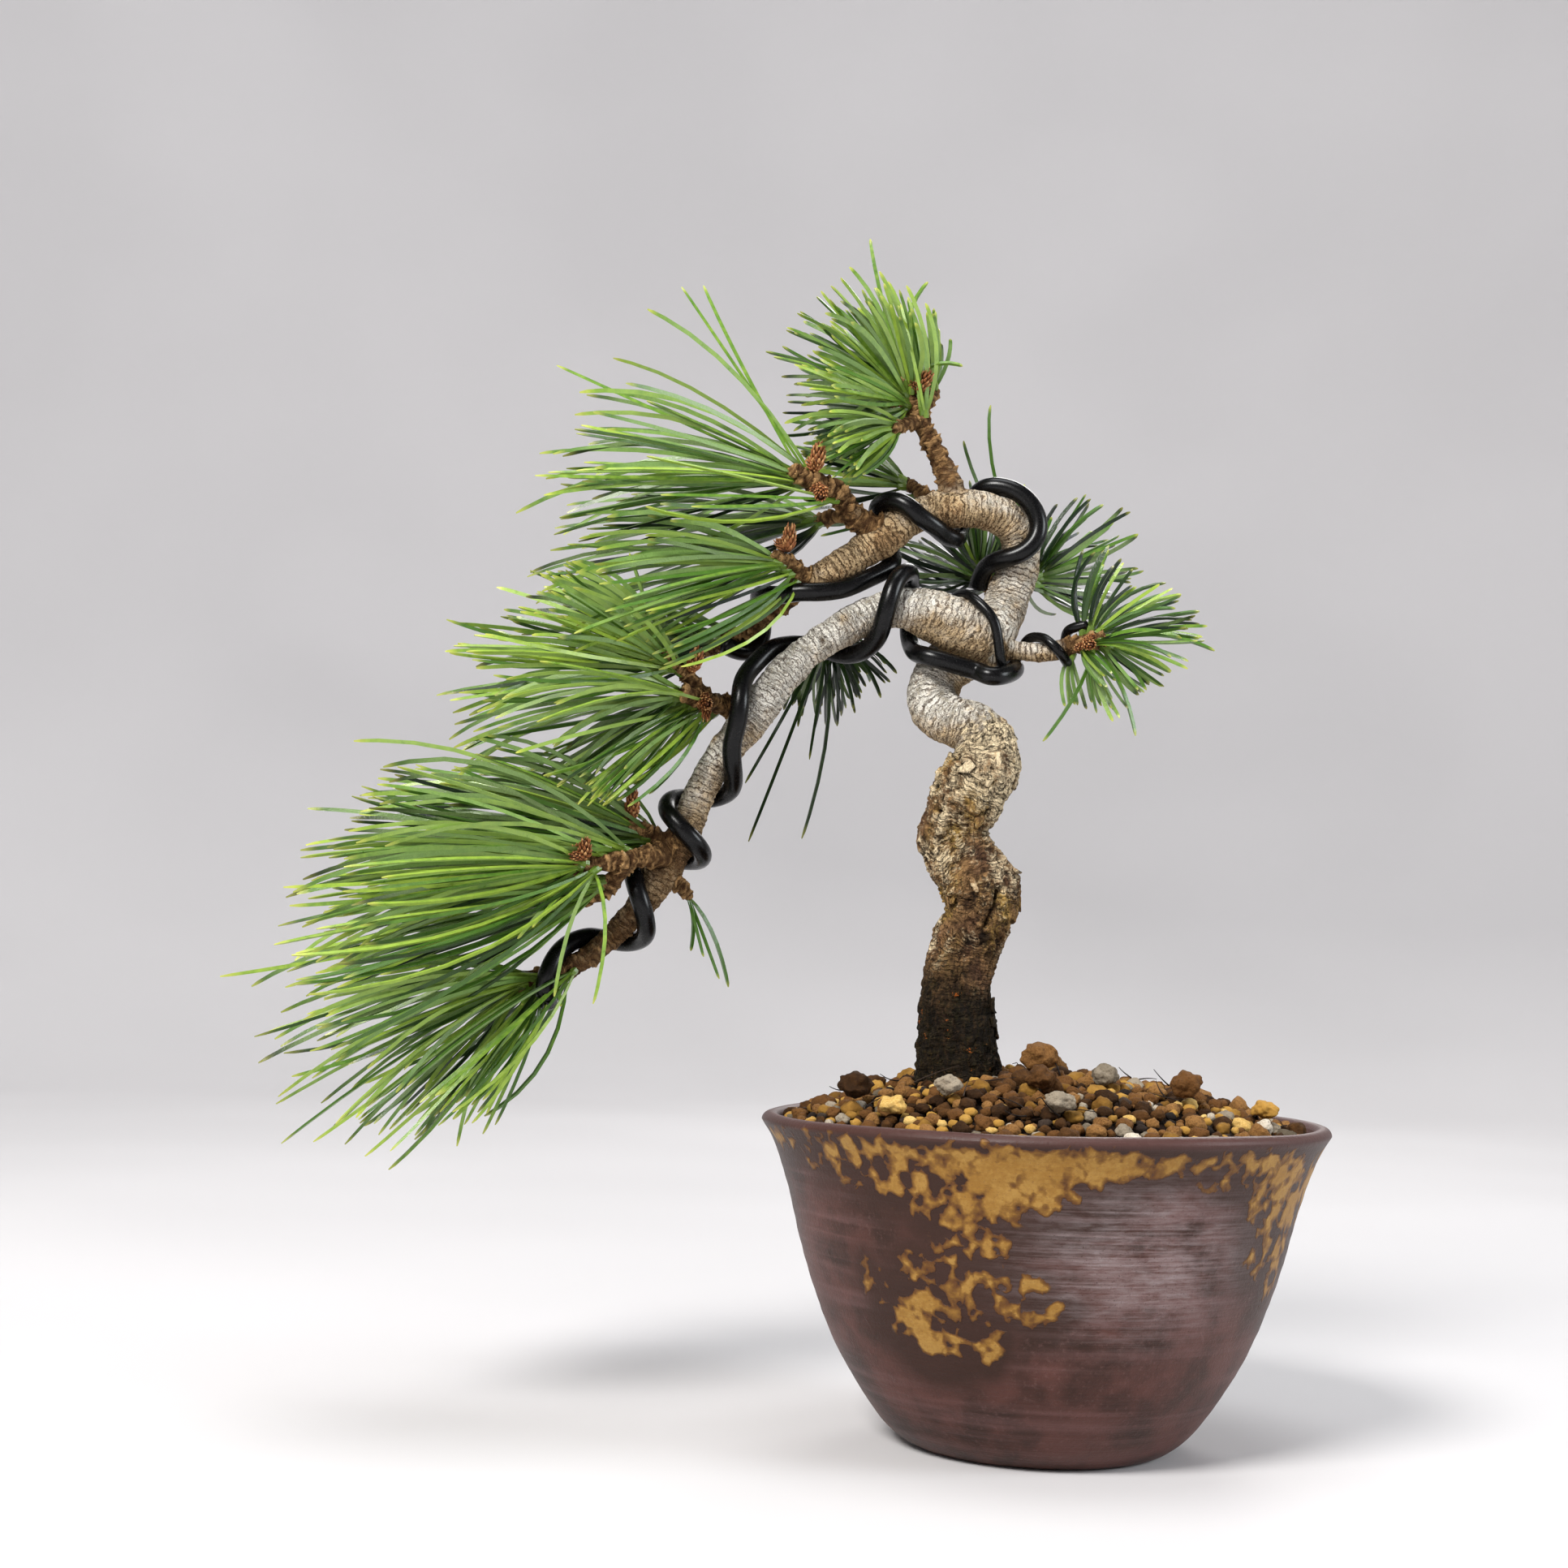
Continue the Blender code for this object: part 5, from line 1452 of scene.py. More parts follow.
    def damp(self, height: np.ndarray) -> np.ndarray:
        """Find how damp the bark is at heights, from 0 dry to 1 wet."""
        top = self.damp_top + self.limbs["trunk"].lift
        return np.clip((top - height) / self.damp_depth, 0.0, 1.0)

    def dress(self, mesh: Mesh) -> None:
        """Raise the bark and store what the finish needs.

        Args:
            mesh: The skin.
        """
        places = vertex_places(mesh)
        normals = vertex_normals(mesh)
        near = self.nearest(places)
        age, run, angle, radius = near["age"], near["run"], near["angle"], near["radius"]
        knot = np.zeros(len(places))
        for name, station, degrees, size in self.knots:
            gap = np.linalg.norm(places - skin_place(self.limbs, (name, station, degrees, 0.0)), axis=1)
            knot = np.maximum(knot, np.exp(-(gap / size) ** 2))
        old = np.clip((age - 1.25) / 0.35, 0.0, 1.0)
        young = np.clip((0.62 - age) / 0.35, 0.0, 1.0)
        pale = 1.0 - old - young
        # The crack mark: cracks, creases, ring grooves, scale feet and gashes, darkened partly as
        # painted shade, plus painted shadow under lifted old plates
        crack_and_painted_shade = np.zeros(len(places))
        tint = np.zeros(len(places))
        raise_by = np.zeros(len(places))
        for number, place in enumerate(places):
            spot = Vector(place)
            low = noise.noise(spot / 7.0)
            mid = noise.noise(spot / 2.4 + Vector((7, 3, 1)))
            fine = noise.noise(spot / 1.0 + Vector((1, 9, 4)))
            around = angle[number] * radius[number]
            lift = 0.0
            if old[number] > 0.0:
                noises = (low, mid, fine)
                own = self.old_bark(number, spot, around, run[number], noises, crack_and_painted_shade, tint)
                lift += old[number] * own
            if young[number] > 0.0:
                row = run[number] / 1.25 + 0.7 * mid + 0.3 * fine
                column = angle[number] / math.tau * 5.0 + 0.5 * (math.floor(row) % 2) + 0.5 * mid
                own = noise.cell(Vector((math.floor(row), math.floor(column), 3.5)))
                peg_along = row - math.floor(row)
                peg_across = abs((column - math.floor(column)) - 0.5) * 2.0
                peg = max(0.0, 1.0 - peg_across ** 2) * peg_along ** 1.5 * (0.25 + 1.0 * own)
                # Painted shade at the foot of each scale, below the raised end of the scale before it
                crack_and_painted_shade[number] = max(crack_and_painted_shade[number], young[number] * (1.0 - peg_along) ** 3)
                tint[number] = max(tint[number], young[number] * (0.2 + 0.6 * peg + 0.3 * fine))
                knobbly = min(1.25, radius[number] / 1.5)
                lift += young[number] * knobbly * (0.8 * peg + 0.25 * fine + 0.35 * mid - 0.12)
            if pale[number] > 0.0:
                ring = noise.noise(Vector((run[number] / 0.75, low * 2.5 + around / 6.0, mid)))
                dent = max(0.0, 0.1 - abs(ring)) / 0.1
                broad = 0.4 * low * radius[number] / 4.0
                lift += pale[number] * (0.16 * ring - 0.22 * dent + 0.3 * mid + broad)
                crack_and_painted_shade[number] = max(crack_and_painted_shade[number], pale[number] * dent * (0.5 + mid))
            lift += 0.7 * knot[number] * (0.6 + 0.5 * mid)
            raise_by[number] = lift
        for start, end, wide, deep in self.gashes:
            gap = segment_gap(places, np.array(start), np.array(end))
            cut = np.exp(-(gap / wide) ** 2)
            raise_by -= deep * cut
            crack_and_painted_shade = np.maximum(crack_and_painted_shade, cut)
        # Painted shade: how much each face looks downwards, for browner undersides on the smooth bark
        under = np.clip(0.1 - normals[:, 2], 0.0, 1.0)
        damp = self.damp(places[:, 2])
        places += normals * raise_by[:, None]
        mesh.vertices.foreach_set("co", (places * MM).ravel())
        mesh.update()
        marks = {"age": age, "run": run, "crack_and_painted_shade": np.clip(crack_and_painted_shade, 0.0, 1.0),
                 "tint": np.clip(tint, 0.0, 1.0), "knot": knot, "damp": damp * old, "under": under,
                 "warm": near["warm"]}
        for name, values in marks.items():
            set_marks(mesh, name, values)

    def old_bark(self, number: int, spot: Vector, around: float, along: float, noises: tuple,
                 crack_and_painted_shade: np.ndarray, tint: np.ndarray) -> float:
        """Raise flakes and wrinkles of old bark at one point, and note its cracks, painted shadow and
        tint.

        Args:
            number: The point's number.
            spot: Its place.
            around: How far round the trunk it lies.
            along: How far along the trunk it lies.
            noises: Coarse, middle and fine noise there.
            crack_and_painted_shade: Receives its cracks, partly painted shade, and painted shadow under
                lifted plates.
            tint: Receives how light it is.

        Returns:
            How far the bark stands out.
        """
        low, mid, fine = noises
        flow = Vector((around / 4.2, along / 1.05 + 1.3 * low + 0.5 * mid, 3.0))
        upright = max(0.0, min(1.0, (44.0 - along) / 12.0))
        if upright > 0.5:
            flow = Vector((around / 1.1 + 0.7 * mid + 0.9 * low, along / 5.0, 3.0))
        wrinkle = max(0.0, 1.0 - abs(noise.noise(flow)) * 5.0) * (0.4 + 1.2 * abs(upright - 0.5))
        split = max(0.0, 1.0 - abs(noise.noise(Vector((around / 2.3 + mid, along / 5.5, 9.0)))) * 11.0)
        split *= max(0.0, min(1.0, 0.5 + 2.5 * noise.noise(spot / 4.5)))
        warped = Vector((spot.x + 0.9 * mid, spot.y + 0.9 * fine, spot.z * 1.35 + 0.9 * mid))
        gaps, corners = noise.voronoi(warped / 2.5)
        seam = max(0.0, 1.0 - (gaps[1] - gaps[0]) / 0.16)
        flake = noise.cell(corners[0] * 7.3)
        tiny = noise.noise(spot / 0.5)
        step = along / 3.4 + 0.9 * noise.noise(Vector((around / 3.6, along / 9.0, 4.0))) + 0.25 * mid
        ledge = step - math.floor(step)
        lifted = max(0.0, min(1.0, 0.4 + 2.2 * noise.noise(Vector((around / 3.0, along / 3.2, 17.0)))))
        lifted *= 1.0 - 0.8 * upright
        # Painted shadow under the edge of each lifted plate, carried in the crack mark
        shadow = lifted * max(0.0, 1.0 - ledge / 0.14)
        crack_and_painted_shade[number] = max(0.75 * wrinkle, split, 0.4 * seam, shadow)
        tint[number] = (0.5 + 0.3 * mid + 0.25 * fine + 0.25 * (flake - 0.5) + 0.15 * tiny
                        - 0.2 * lifted * (ledge - 0.5))
        return (0.7 * low + 0.3 * mid + 0.16 * fine + 0.08 * tiny + 0.2 * (flake - 0.5)
                + 0.75 * lifted * ((1.0 - ledge) ** 1.4 - 0.4) - 0.25 * shadow
                - 0.26 * wrinkle - 0.5 * split - 0.1 * seam)

    def build_chips(self, material: Material) -> None:
        """Make the loose chips of bark that stand off the old trunk.

        Args:
            material: The bark's finish.
        """
        chance = np.random.default_rng(self.seed)
        trunk = self.limbs["trunk"]
        parts = MeshParts()
        chips = [(chance.uniform(2.2, 13.4), chance.uniform(-180, 180), chance.uniform(1.4, 3.0),
                  chance.uniform(0.9, 1.9), chance.uniform(0.02, 0.16)) for _ in range(self.chip_count)]
        chips += list(self.chips)
        for station, degrees, tall, wide, lift in chips:
            centre, radius, heading = trunk.at(station)
            place = skin_place(self.limbs, ("trunk", station, degrees, 0.0), 0.25)
            out = unit(place - centre)
            across = np.cross(heading, out)
            rows = []
            for step in np.linspace(-0.5, 0.5, self.chip_grid[0]):
                for aside in np.linspace(-0.5, 0.5, self.chip_grid[1]):
                    ragged = 0.42 * noise.noise(Vector((step * 3, aside * 3, station + degrees)))
                    narrow = 1.0 - 1.3 * abs(step) ** 1.6
                    curl = lift * tall * (0.5 - step) ** 2 - 0.25 * wide * aside ** 2
                    rows.append(place + heading * (step + ragged * 0.4) * tall
                                + across * (aside * narrow + ragged) * wide
                                + out * (curl + ragged * 0.6))
            verts, faces = plate(np.array(rows), self.chip_grid[1], -out * self.chip_thickness)
            run = float(np.interp(station * trunk.fine, np.arange(len(trunk.run)), trunk.run))
            marks = {"age": 2.0, "run": run, "crack_and_painted_shade": 0.0, "tint": chance.uniform(0.35, 0.9),
                     "knot": 0.0, "damp": float(self.damp(place[2])), "under": 0.0, "warm": 0.5}
            parts.add(verts, faces, 0, marks)
        claim(parts.build("bark_chips", [material]), "bark")

    def build(self) -> None:
        """Make the tree's wood."""
        mesh = self.blank()
        self.dress(mesh)
        material = BarkFinish().material()
        piece = link_mesh("trunk_and_limbs", mesh, [material])
        claim(piece, "bark", "trunk_and_branches")
        self.build_chips(material)


def segment_gap(places: np.ndarray, start: np.ndarray, end: np.ndarray) -> np.ndarray:
    """Measure how far points lie from a segment.

    Args:
        places: The points.
        start: The segment's start.
        end: The segment's end.

    Returns:
        The distances.
    """
    run = end - start
    share = np.clip((places - start) @ run / run.dot(run), 0.0, 1.0)
    return np.linalg.norm(places - start - np.outer(share, run), axis=1)


def skin_place(limbs: dict, key: tuple, clearance: float = 0.0) -> np.ndarray:
    """Find a place beside a limb's skin.

    Args:
        limbs: The limbs by name.
        key: (limb, point number, angle, stand-off).
        clearance: Further distance from the skin.

    Returns:
        The place in millimetres.
    """
    name, station, degrees, stand_off = key
    centre, radius, heading = limbs[name].at(station)
    front = np.array(FRONT)
    front = unit(front - heading * front.dot(heading))
    side = np.cross(heading, front)
    turn = math.radians(degrees)
    outward = front * math.cos(turn) + side * math.sin(turn)
    return centre + outward * (radius + clearance + stand_off)


# ---- wire

@dataclass
class TrainingWires:
    """The three black wires wound round the wood."""

    limbs: dict
    gap: float = 0.25
    turn_step: float = 7.0
    steps_per_point: int = 6
    spacing: float = 0.5
    smoothing: int = 14
    sides: int = 20

    def path(self, keys: Sequence[tuple], radius: float, lead: Sequence[tuple]) -> np.ndarray:
        """Wind one wire.

        Args:
            keys: Its keys as (limb, point number, angle, stand-off).
            radius: Its radius.
            lead: Places that it runs through before its first key.

        Returns:
            The centre line.
        """
        clearance = radius + self.gap
        rows = []
        for start, end in zip(keys, keys[1:]):
            count = 1
            if start[0] == end[0]:
                count = max(2, math.ceil(abs(end[2] - start[2]) / self.turn_step),
                            math.ceil(abs(end[1] - start[1]) * self.steps_per_point))
            for step in range(count):
                share = step / count
                between = [a * (1 - share) + b * share for a, b in zip(start[1:], end[1:])]
                rows.append(skin_place(self.limbs, (start[0], *between), clearance))
        rows.append(skin_place(self.limbs, keys[-1], clearance))
        if lead:
            rows = np.vstack([smooth_points([*lead, tuple(rows[0])], 6)[:-1], rows])
        rows = np.array(rows)
        runs = np.concatenate([[0.0], np.cumsum(np.linalg.norm(np.diff(rows, axis=0), axis=1))])
        even = np.linspace(0.0, runs[-1], int(runs[-1] / self.spacing))
        path = np.column_stack([np.interp(even, runs, rows[:, axis]) for axis in range(3)])
        for _ in range(self.smoothing):
            path[1:-1] = path[1:-1] * 0.5 + (path[:-2] + path[2:]) * 0.25
        return path

    def build(self) -> None:
        """Make the wires."""
        material = WireFinish().material()
        for name, groups in WIRE_KEYS.items():
            keys = [(limb, *row) for limb, rows in groups for row in rows]
            lift = self.limbs["trunk"].lift
            lead = [(x, y, z + lift) for x, y, z in WIRE_LEADS[name]]
            path = self.path(keys, WIRE_RADII[name], lead)
            parts = MeshParts()
            parts.add(*tube(path, np.full(len(path), WIRE_RADII[name]), self.sides))
            claim(parts.build(name.replace("training_wire", "wire"), [material]), "black_wire", name)


# ---- needles and buds

@dataclass(frozen=True)
class Tuft:
    """One shoot end's needles.

    The reach lists the (x, z) places that the outermost needle tips come to, in millimetres, in order
    round the fan. Strays are single needles, each with the (x, y, z) of its tip. Swing is how many
    degrees the needles open towards the front and the back, and turn is the middle of that swing, from
    -90 at the front to 90 at the back. Back is the length of twig that carries needles.
    """

    name: str
    limb: str
    reach: tuple
    bundles: int
    swing: float = 42.0
    turn: float = 0.0
    # Painted light and shade: higher for tufts in front, lower for tufts at the back
    shade: float = 0.5
    back: float = 9.0
    bow: float = 0.06
    strays: tuple = ()


# Each tuft's shade is painted light and shade: front tufts lighter, back tufts darker
TUFTS = (
    Tuft("apex", "leader",
         ((-45, 180), (-53, 184), (-56, 190), (-56, 197), (-55, 202), (-50, 209), (-46, 213),
          (-38, 213), (-33, 215), (-28, 211)),
         16, 48, -8, 0.62, 11, 0.07,
         ((-37, -2, 222), (-19, -3, 198), (-48, -6, 178), (-26, -4, 213.5))),
    Tuft("apex_back", "leader_back",
         ((-49, 180), (-54, 187), (-54, 196), (-49, 206)),
         5, 38, 25, 0.3, 7),
    Tuft("apex_right", "leader_right",
         ((-33, 211), (-28, 214), (-24, 210), (-21, 203)),
         4, 32, 10, 0.6, 5),
    Tuft("apex_low", "leader_low",
         ((-40, 173), (-48, 178), (-54, 183), (-55, 188)),
         6, 36, -16, 0.55, 6),
    Tuft("upper_left", "upper_left",
         ((-80, 158), (-91, 163), (-99, 165), (-99, 172), (-100, 179), (-97, 181), (-84, 186)),
         7, 38, -8, 0.62, 12, 0.07,
         ((-94, -12, 193), (-84, -10, 189), (-78, -9, 205), (-72, -7, 210), (-68, -5, 211),
          (-100, -14, 165), (-77, -16, 186))),
    Tuft("upper_back", "upper_left_spur",
         ((-76, 157), (-87, 159), (-92, 166), (-97, 172), (-90, 179)),
         6, 40, 18, 0.32, 7),
    Tuft("knot", "knot_shoot",
         ((-52, 172), (-55, 177), (-51, 186), (-45, 192)),
         5, 30, 20, 0.3, 5),
    Tuft("mid_left", "mid_left_spur",
         ((-75, 139), (-81, 142), (-93, 143), (-102, 145), (-99, 151), (-96, 155), (-87, 161)),
         9, 40, -6, 0.5, 9, 0.06,
         ((-76, -14, 160), (-84, -10, 165))),
    Tuft("mid_back", "apex",
         ((-82, 140), (-93, 144), (-101, 149), (-97, 156)),
         9, 40, 20, 0.22, 12),
    Tuft("outer_high", "outer_spur_up",
         ((-113, 131), (-116, 134), (-112, 140), (-104, 143), (-104, 149), (-99, 154), (-91, 156)),
         11, 42, -6, 0.7, 10, 0.06,
         ((-79, -16, 158),)),
    Tuft("outer_low", "outer_spur",
         ((-76, 111), (-84, 112), (-90, 110), (-99, 114), (-110, 120), (-119, 125), (-118, 129),
          (-114, 132)),
         13, 44, -10, 0.66, 12),
    Tuft("crown_high", "crown_high",
         ((-138, 102), (-135, 108), (-131, 115), (-127, 119), (-119, 120), (-110, 122)),
         11, 38, 4, 0.5, 12),
    Tuft("crown_mid", "crown_mid",
         ((-140, 80), (-141, 87), (-141, 91), (-138, 96), (-136, 102), (-132, 108)),
         13, 38, -4, 0.72, 14, 0.05,
         ((-82, -19, 77), (-89, -18, 78), (-93, -21, 90), (-96, -17, 88))),
    Tuft("crown_low", "crown_low",
         ((-136, 68), (-142, 70), (-142, 76), (-144, 81), (-141, 86), (-138, 91)),
         11, 36, 0, 0.6, 12),
    Tuft("cascade_end", "cascade",
         ((-106, 52), (-113, 50), (-124, 47), (-130, 48), (-137, 51), (-141, 58), (-144, 65),
          (-143, 72), (-140, 77)),
         15, 40, 0, 0.64, 14, 0.06,
         ((-103, 2, 52), (-107, -3, 50), (-96, -6, 76), (-89, -5, 76))),
    Tuft("crown_stub", "crown_stub",
         ((-60, 84), (-63, 86)),
         0, 10, 10, 0.35, 3, 0.1,
         ((-60.5, 4, 82), (-58.8, 5, 80.5), (-63.5, 2, 86), (-66, 3, 87))),
    Tuft("right", "right",
         ((-1, 131), (7, 134), (15, 132), (21, 138), (26, 140), (29, 146), (27, 154), (22, 162),
          (15, 163), (7, 165)),
         11, 46, 0, 0.5, 7, 0.06,
         ((-2, -2, 128), (15, -3, 129.5), (29.5, -2, 146))),
    Tuft("back_right", "back_right",
         ((-10, 175), (-7, 183), (0, 181), (5, 182), (10, 179), (16, 174), (20, 165), (18, 156)),
         13, 44, 20, 0.36, 8, 0.06,
         ((-12, 14, 195), (-17, 15, 188))),
    Tuft("back_left", "back_left",
         ((-36, 160), (-33, 167), (-29, 174), (-22, 179), (-13, 180), (-5, 176), (-2, 168)),
         17, 45, 25, 0.22, 9),
    Tuft("arch_back", "arch_back",
         ((-53, 132), (-47, 131), (-42, 126), (-36, 134), (-33, 139), (-30, 142)),
         8, 40, 20, 0.06, 9, 0.05,
         ((-46, 9, 109), (-45, 8, 124), (-56, 8, 108), (-57, 7, 119), (-32, 6, 136), (-29, 8, 141),
          (-37, 9, 134), (-61, 9, 132))),
)


@dataclass
class Needles:
    """All needles, bundle by bundle."""

    limbs: dict
    half_width: float = 0.46
    flatness: float = 0.8
    thicker_tufts: float = 1.35
    seed: int = 21
    shares: tuple = (0.0, 0.12, 0.28, 0.44, 0.6, 0.76, 0.9, 0.97, 1.0)
    taper: tuple = (0.7, 0.88, 1.0, 1.04, 1.04, 1.0, 0.94, 0.8, 0.34)
    sheath_radii: tuple = (0.8, 0.78, 0.55)
    sheath_sides: int = 7

    def blade(self, parts: MeshParts, base: np.ndarray, tip: np.ndarray, bow: np.ndarray, shade: float,
              wide: float) -> None:
        """Grow one needle.

        Args:
            parts: Gathers the shapes.
            base: Where it starts.
            tip: Where it ends.
            bow: How far its middle bends aside.
            shade: Its shade of green, which carries painted light and shade.
            wide: Its width as a share.
        """
        share = np.array(self.shares)
        path = base + np.outer(share, tip - base) + np.outer(4.0 * share * (1.0 - share), bow)
        side = unit(np.cross(tip - base, bow + (1e-3, 2e-3, 0)))
        verts, faces = tube(path, np.array(self.taper) * self.half_width * wide, 3, self.flatness, side)
        marks = {"along": np.concatenate([np.repeat(share, 3), [0.0, 1.0]]), "edge": 0.0,
                 "tint": min(1.0, max(0.0, shade))}
        bands = np.array([1.0 if index % 3 == 1 else 0.0 for index in range(len(faces))])
        parts.add(verts, faces, 0, marks, {"band": bands})

    def bundle(self, parts: MeshParts, base: np.ndarray, tip: np.ndarray, bow: np.ndarray, shade: float,
               chance: np.random.Generator) -> None:
        """Grow one bundle of five needles out of its sheath.

        Args:
            parts: Gathers the shapes.
            base: Where it starts on the twig.
            tip: Where its middle ends.
            bow: How far its middle bends aside.
            shade: Its shade of green, which carries painted light and shade.
            chance: Random numbers.
        """
        heading = unit(tip - base + 4.0 * bow)
        sheath = chance.uniform(1.3, 2.2)
        path = base + np.outer((0.0, 0.5, 1.0), heading) * sheath
        verts, faces = tube(path, np.array(self.sheath_radii), self.sheath_sides)
        edge = np.concatenate([np.repeat((0.1, 0.6, 1.0), self.sheath_sides), [0.0, 1.0]])
        parts.add(verts, faces, 1, {"edge": edge, "tint": chance.random(), "along": 0.0}, {"band": 0.0})
        length = float(np.linalg.norm(tip - base))
        first = unit(np.cross(heading, (0.3, 0.2, 1.0)))
        second = np.cross(heading, first)
        for number in range(NEEDLES_IN_BUNDLE):
            turn = math.tau * number / NEEDLES_IN_BUNDLE + chance.uniform(-0.5, 0.5)
            aside = first * math.cos(turn) + second * math.sin(turn)
            reach = chance.uniform(0.03, 0.22)
            own = tip + aside * length * reach - heading * length * chance.uniform(0.0, 0.14)
            own_bow = bow + aside * length * chance.uniform(-0.02, 0.05)
            own_bow = own_bow + chance.normal(size=3) * length * 0.026
            start = base + heading * sheath * 0.6 + aside * 0.28
            own_shade = shade + chance.normal() * 0.3
            self.blade(parts, start, own, own_bow, own_shade, chance.uniform(0.84, 1.1))

    def grow(self, tuft: Tuft, chance: np.random.Generator) -> MeshParts:
        """Grow one tuft.

        Args:
            tuft: What to grow.
            chance: Random numbers.

        Returns:
            The gathered shapes.
        """
        parts = MeshParts()
        limb = self.limbs[tuft.limb]
        lift = limb.lift
        centre, _, _ = limb.from_end(0.0)
        rim = np.array([(x - centre[0], z + lift - centre[2]) for x, z in tuft.reach])
        angles = np.unwrap(np.arctan2(rim[:, 1], rim[:, 0]))
        order = np.argsort(angles)
        angles, spans = angles[order], np.hypot(rim[:, 0], rim[:, 1])[order]
        middle = (angles[0] + angles[-1]) / 2
        half = max((angles[-1] - angles[0]) / 2, 0.05)
        for number in range(math.ceil(tuft.bundles * self.thicker_tufts)):
            share = (0.5 + number * GOLDEN_SHARE) % 1.0
            angle = angles[0] + (angles[-1] - angles[0]) * share + chance.normal() * 0.09
            swing = math.radians(tuft.turn + tuft.swing * chance.uniform(-1.0, 1.0))
            flat = np.array((math.cos(angle), 0.0, math.sin(angle)))
            out = flat * math.cos(swing) + np.array((0.0, math.sin(swing), 0.0))
            span = float(np.interp(angle, angles, spans)) * chance.uniform(0.76, 1.06)
            wide = min(1.0, abs(angle - middle) / half * 0.6 + abs(swing) * 0.6)
            foot, radius, heading = limb.from_end(tuft.back * min(1.0, wide * chance.uniform(0.4, 1.4)))
            skin = out - heading * out.dot(heading) * 0.7
            base = foot + unit(skin) * radius * 0.7
            aside = math.copysign(1.0, angle - middle) * abs(angle - middle) / half
            turned = np.array((-math.sin(angle), 0.0, math.cos(angle))) * aside
            bow = (turned + np.array((0.0, math.sin(swing) * 0.6, 0.45))) * span * tuft.bow
            # Painted shade: needles that swing to the back are darker, those to the front lighter
            shade = tuft.shade - 0.28 * math.sin(swing)
            self.bundle(parts, base, centre + out * span, bow, shade, chance)
        for x, y, z in tuft.strays:
            tip = np.array((x, y, z + lift))
            foot, radius, _ = limb.from_end(chance.uniform(0.0, tuft.back * 0.6))
            length = np.linalg.norm(tip - foot)
            bow = np.array((0.0, -0.03, 0.07)) * length
            bow += unit(np.cross(tip - foot, (0.0, 1.0, 0.0))) * length * chance.uniform(-0.04, 0.09)
            # Painted light: strays stand out of the tuft and are painted a little lighter
            self.blade(parts, foot + unit(tip - foot) * radius * 0.6, tip, bow, tuft.shade + 0.15, 1.0)
        return parts

    def build(self) -> None:
        """Grow every tuft."""
        materials = [NeedleFinish().material(), SheathFinish().material()]
        chance = np.random.default_rng(self.seed)
        for tuft in TUFTS:
            piece = self.grow(tuft, chance).build(f"foliage_{tuft.name}", materials)
            piece.data.shade_flat()
            claim(piece, "needle", f"needles_{tuft.name}")


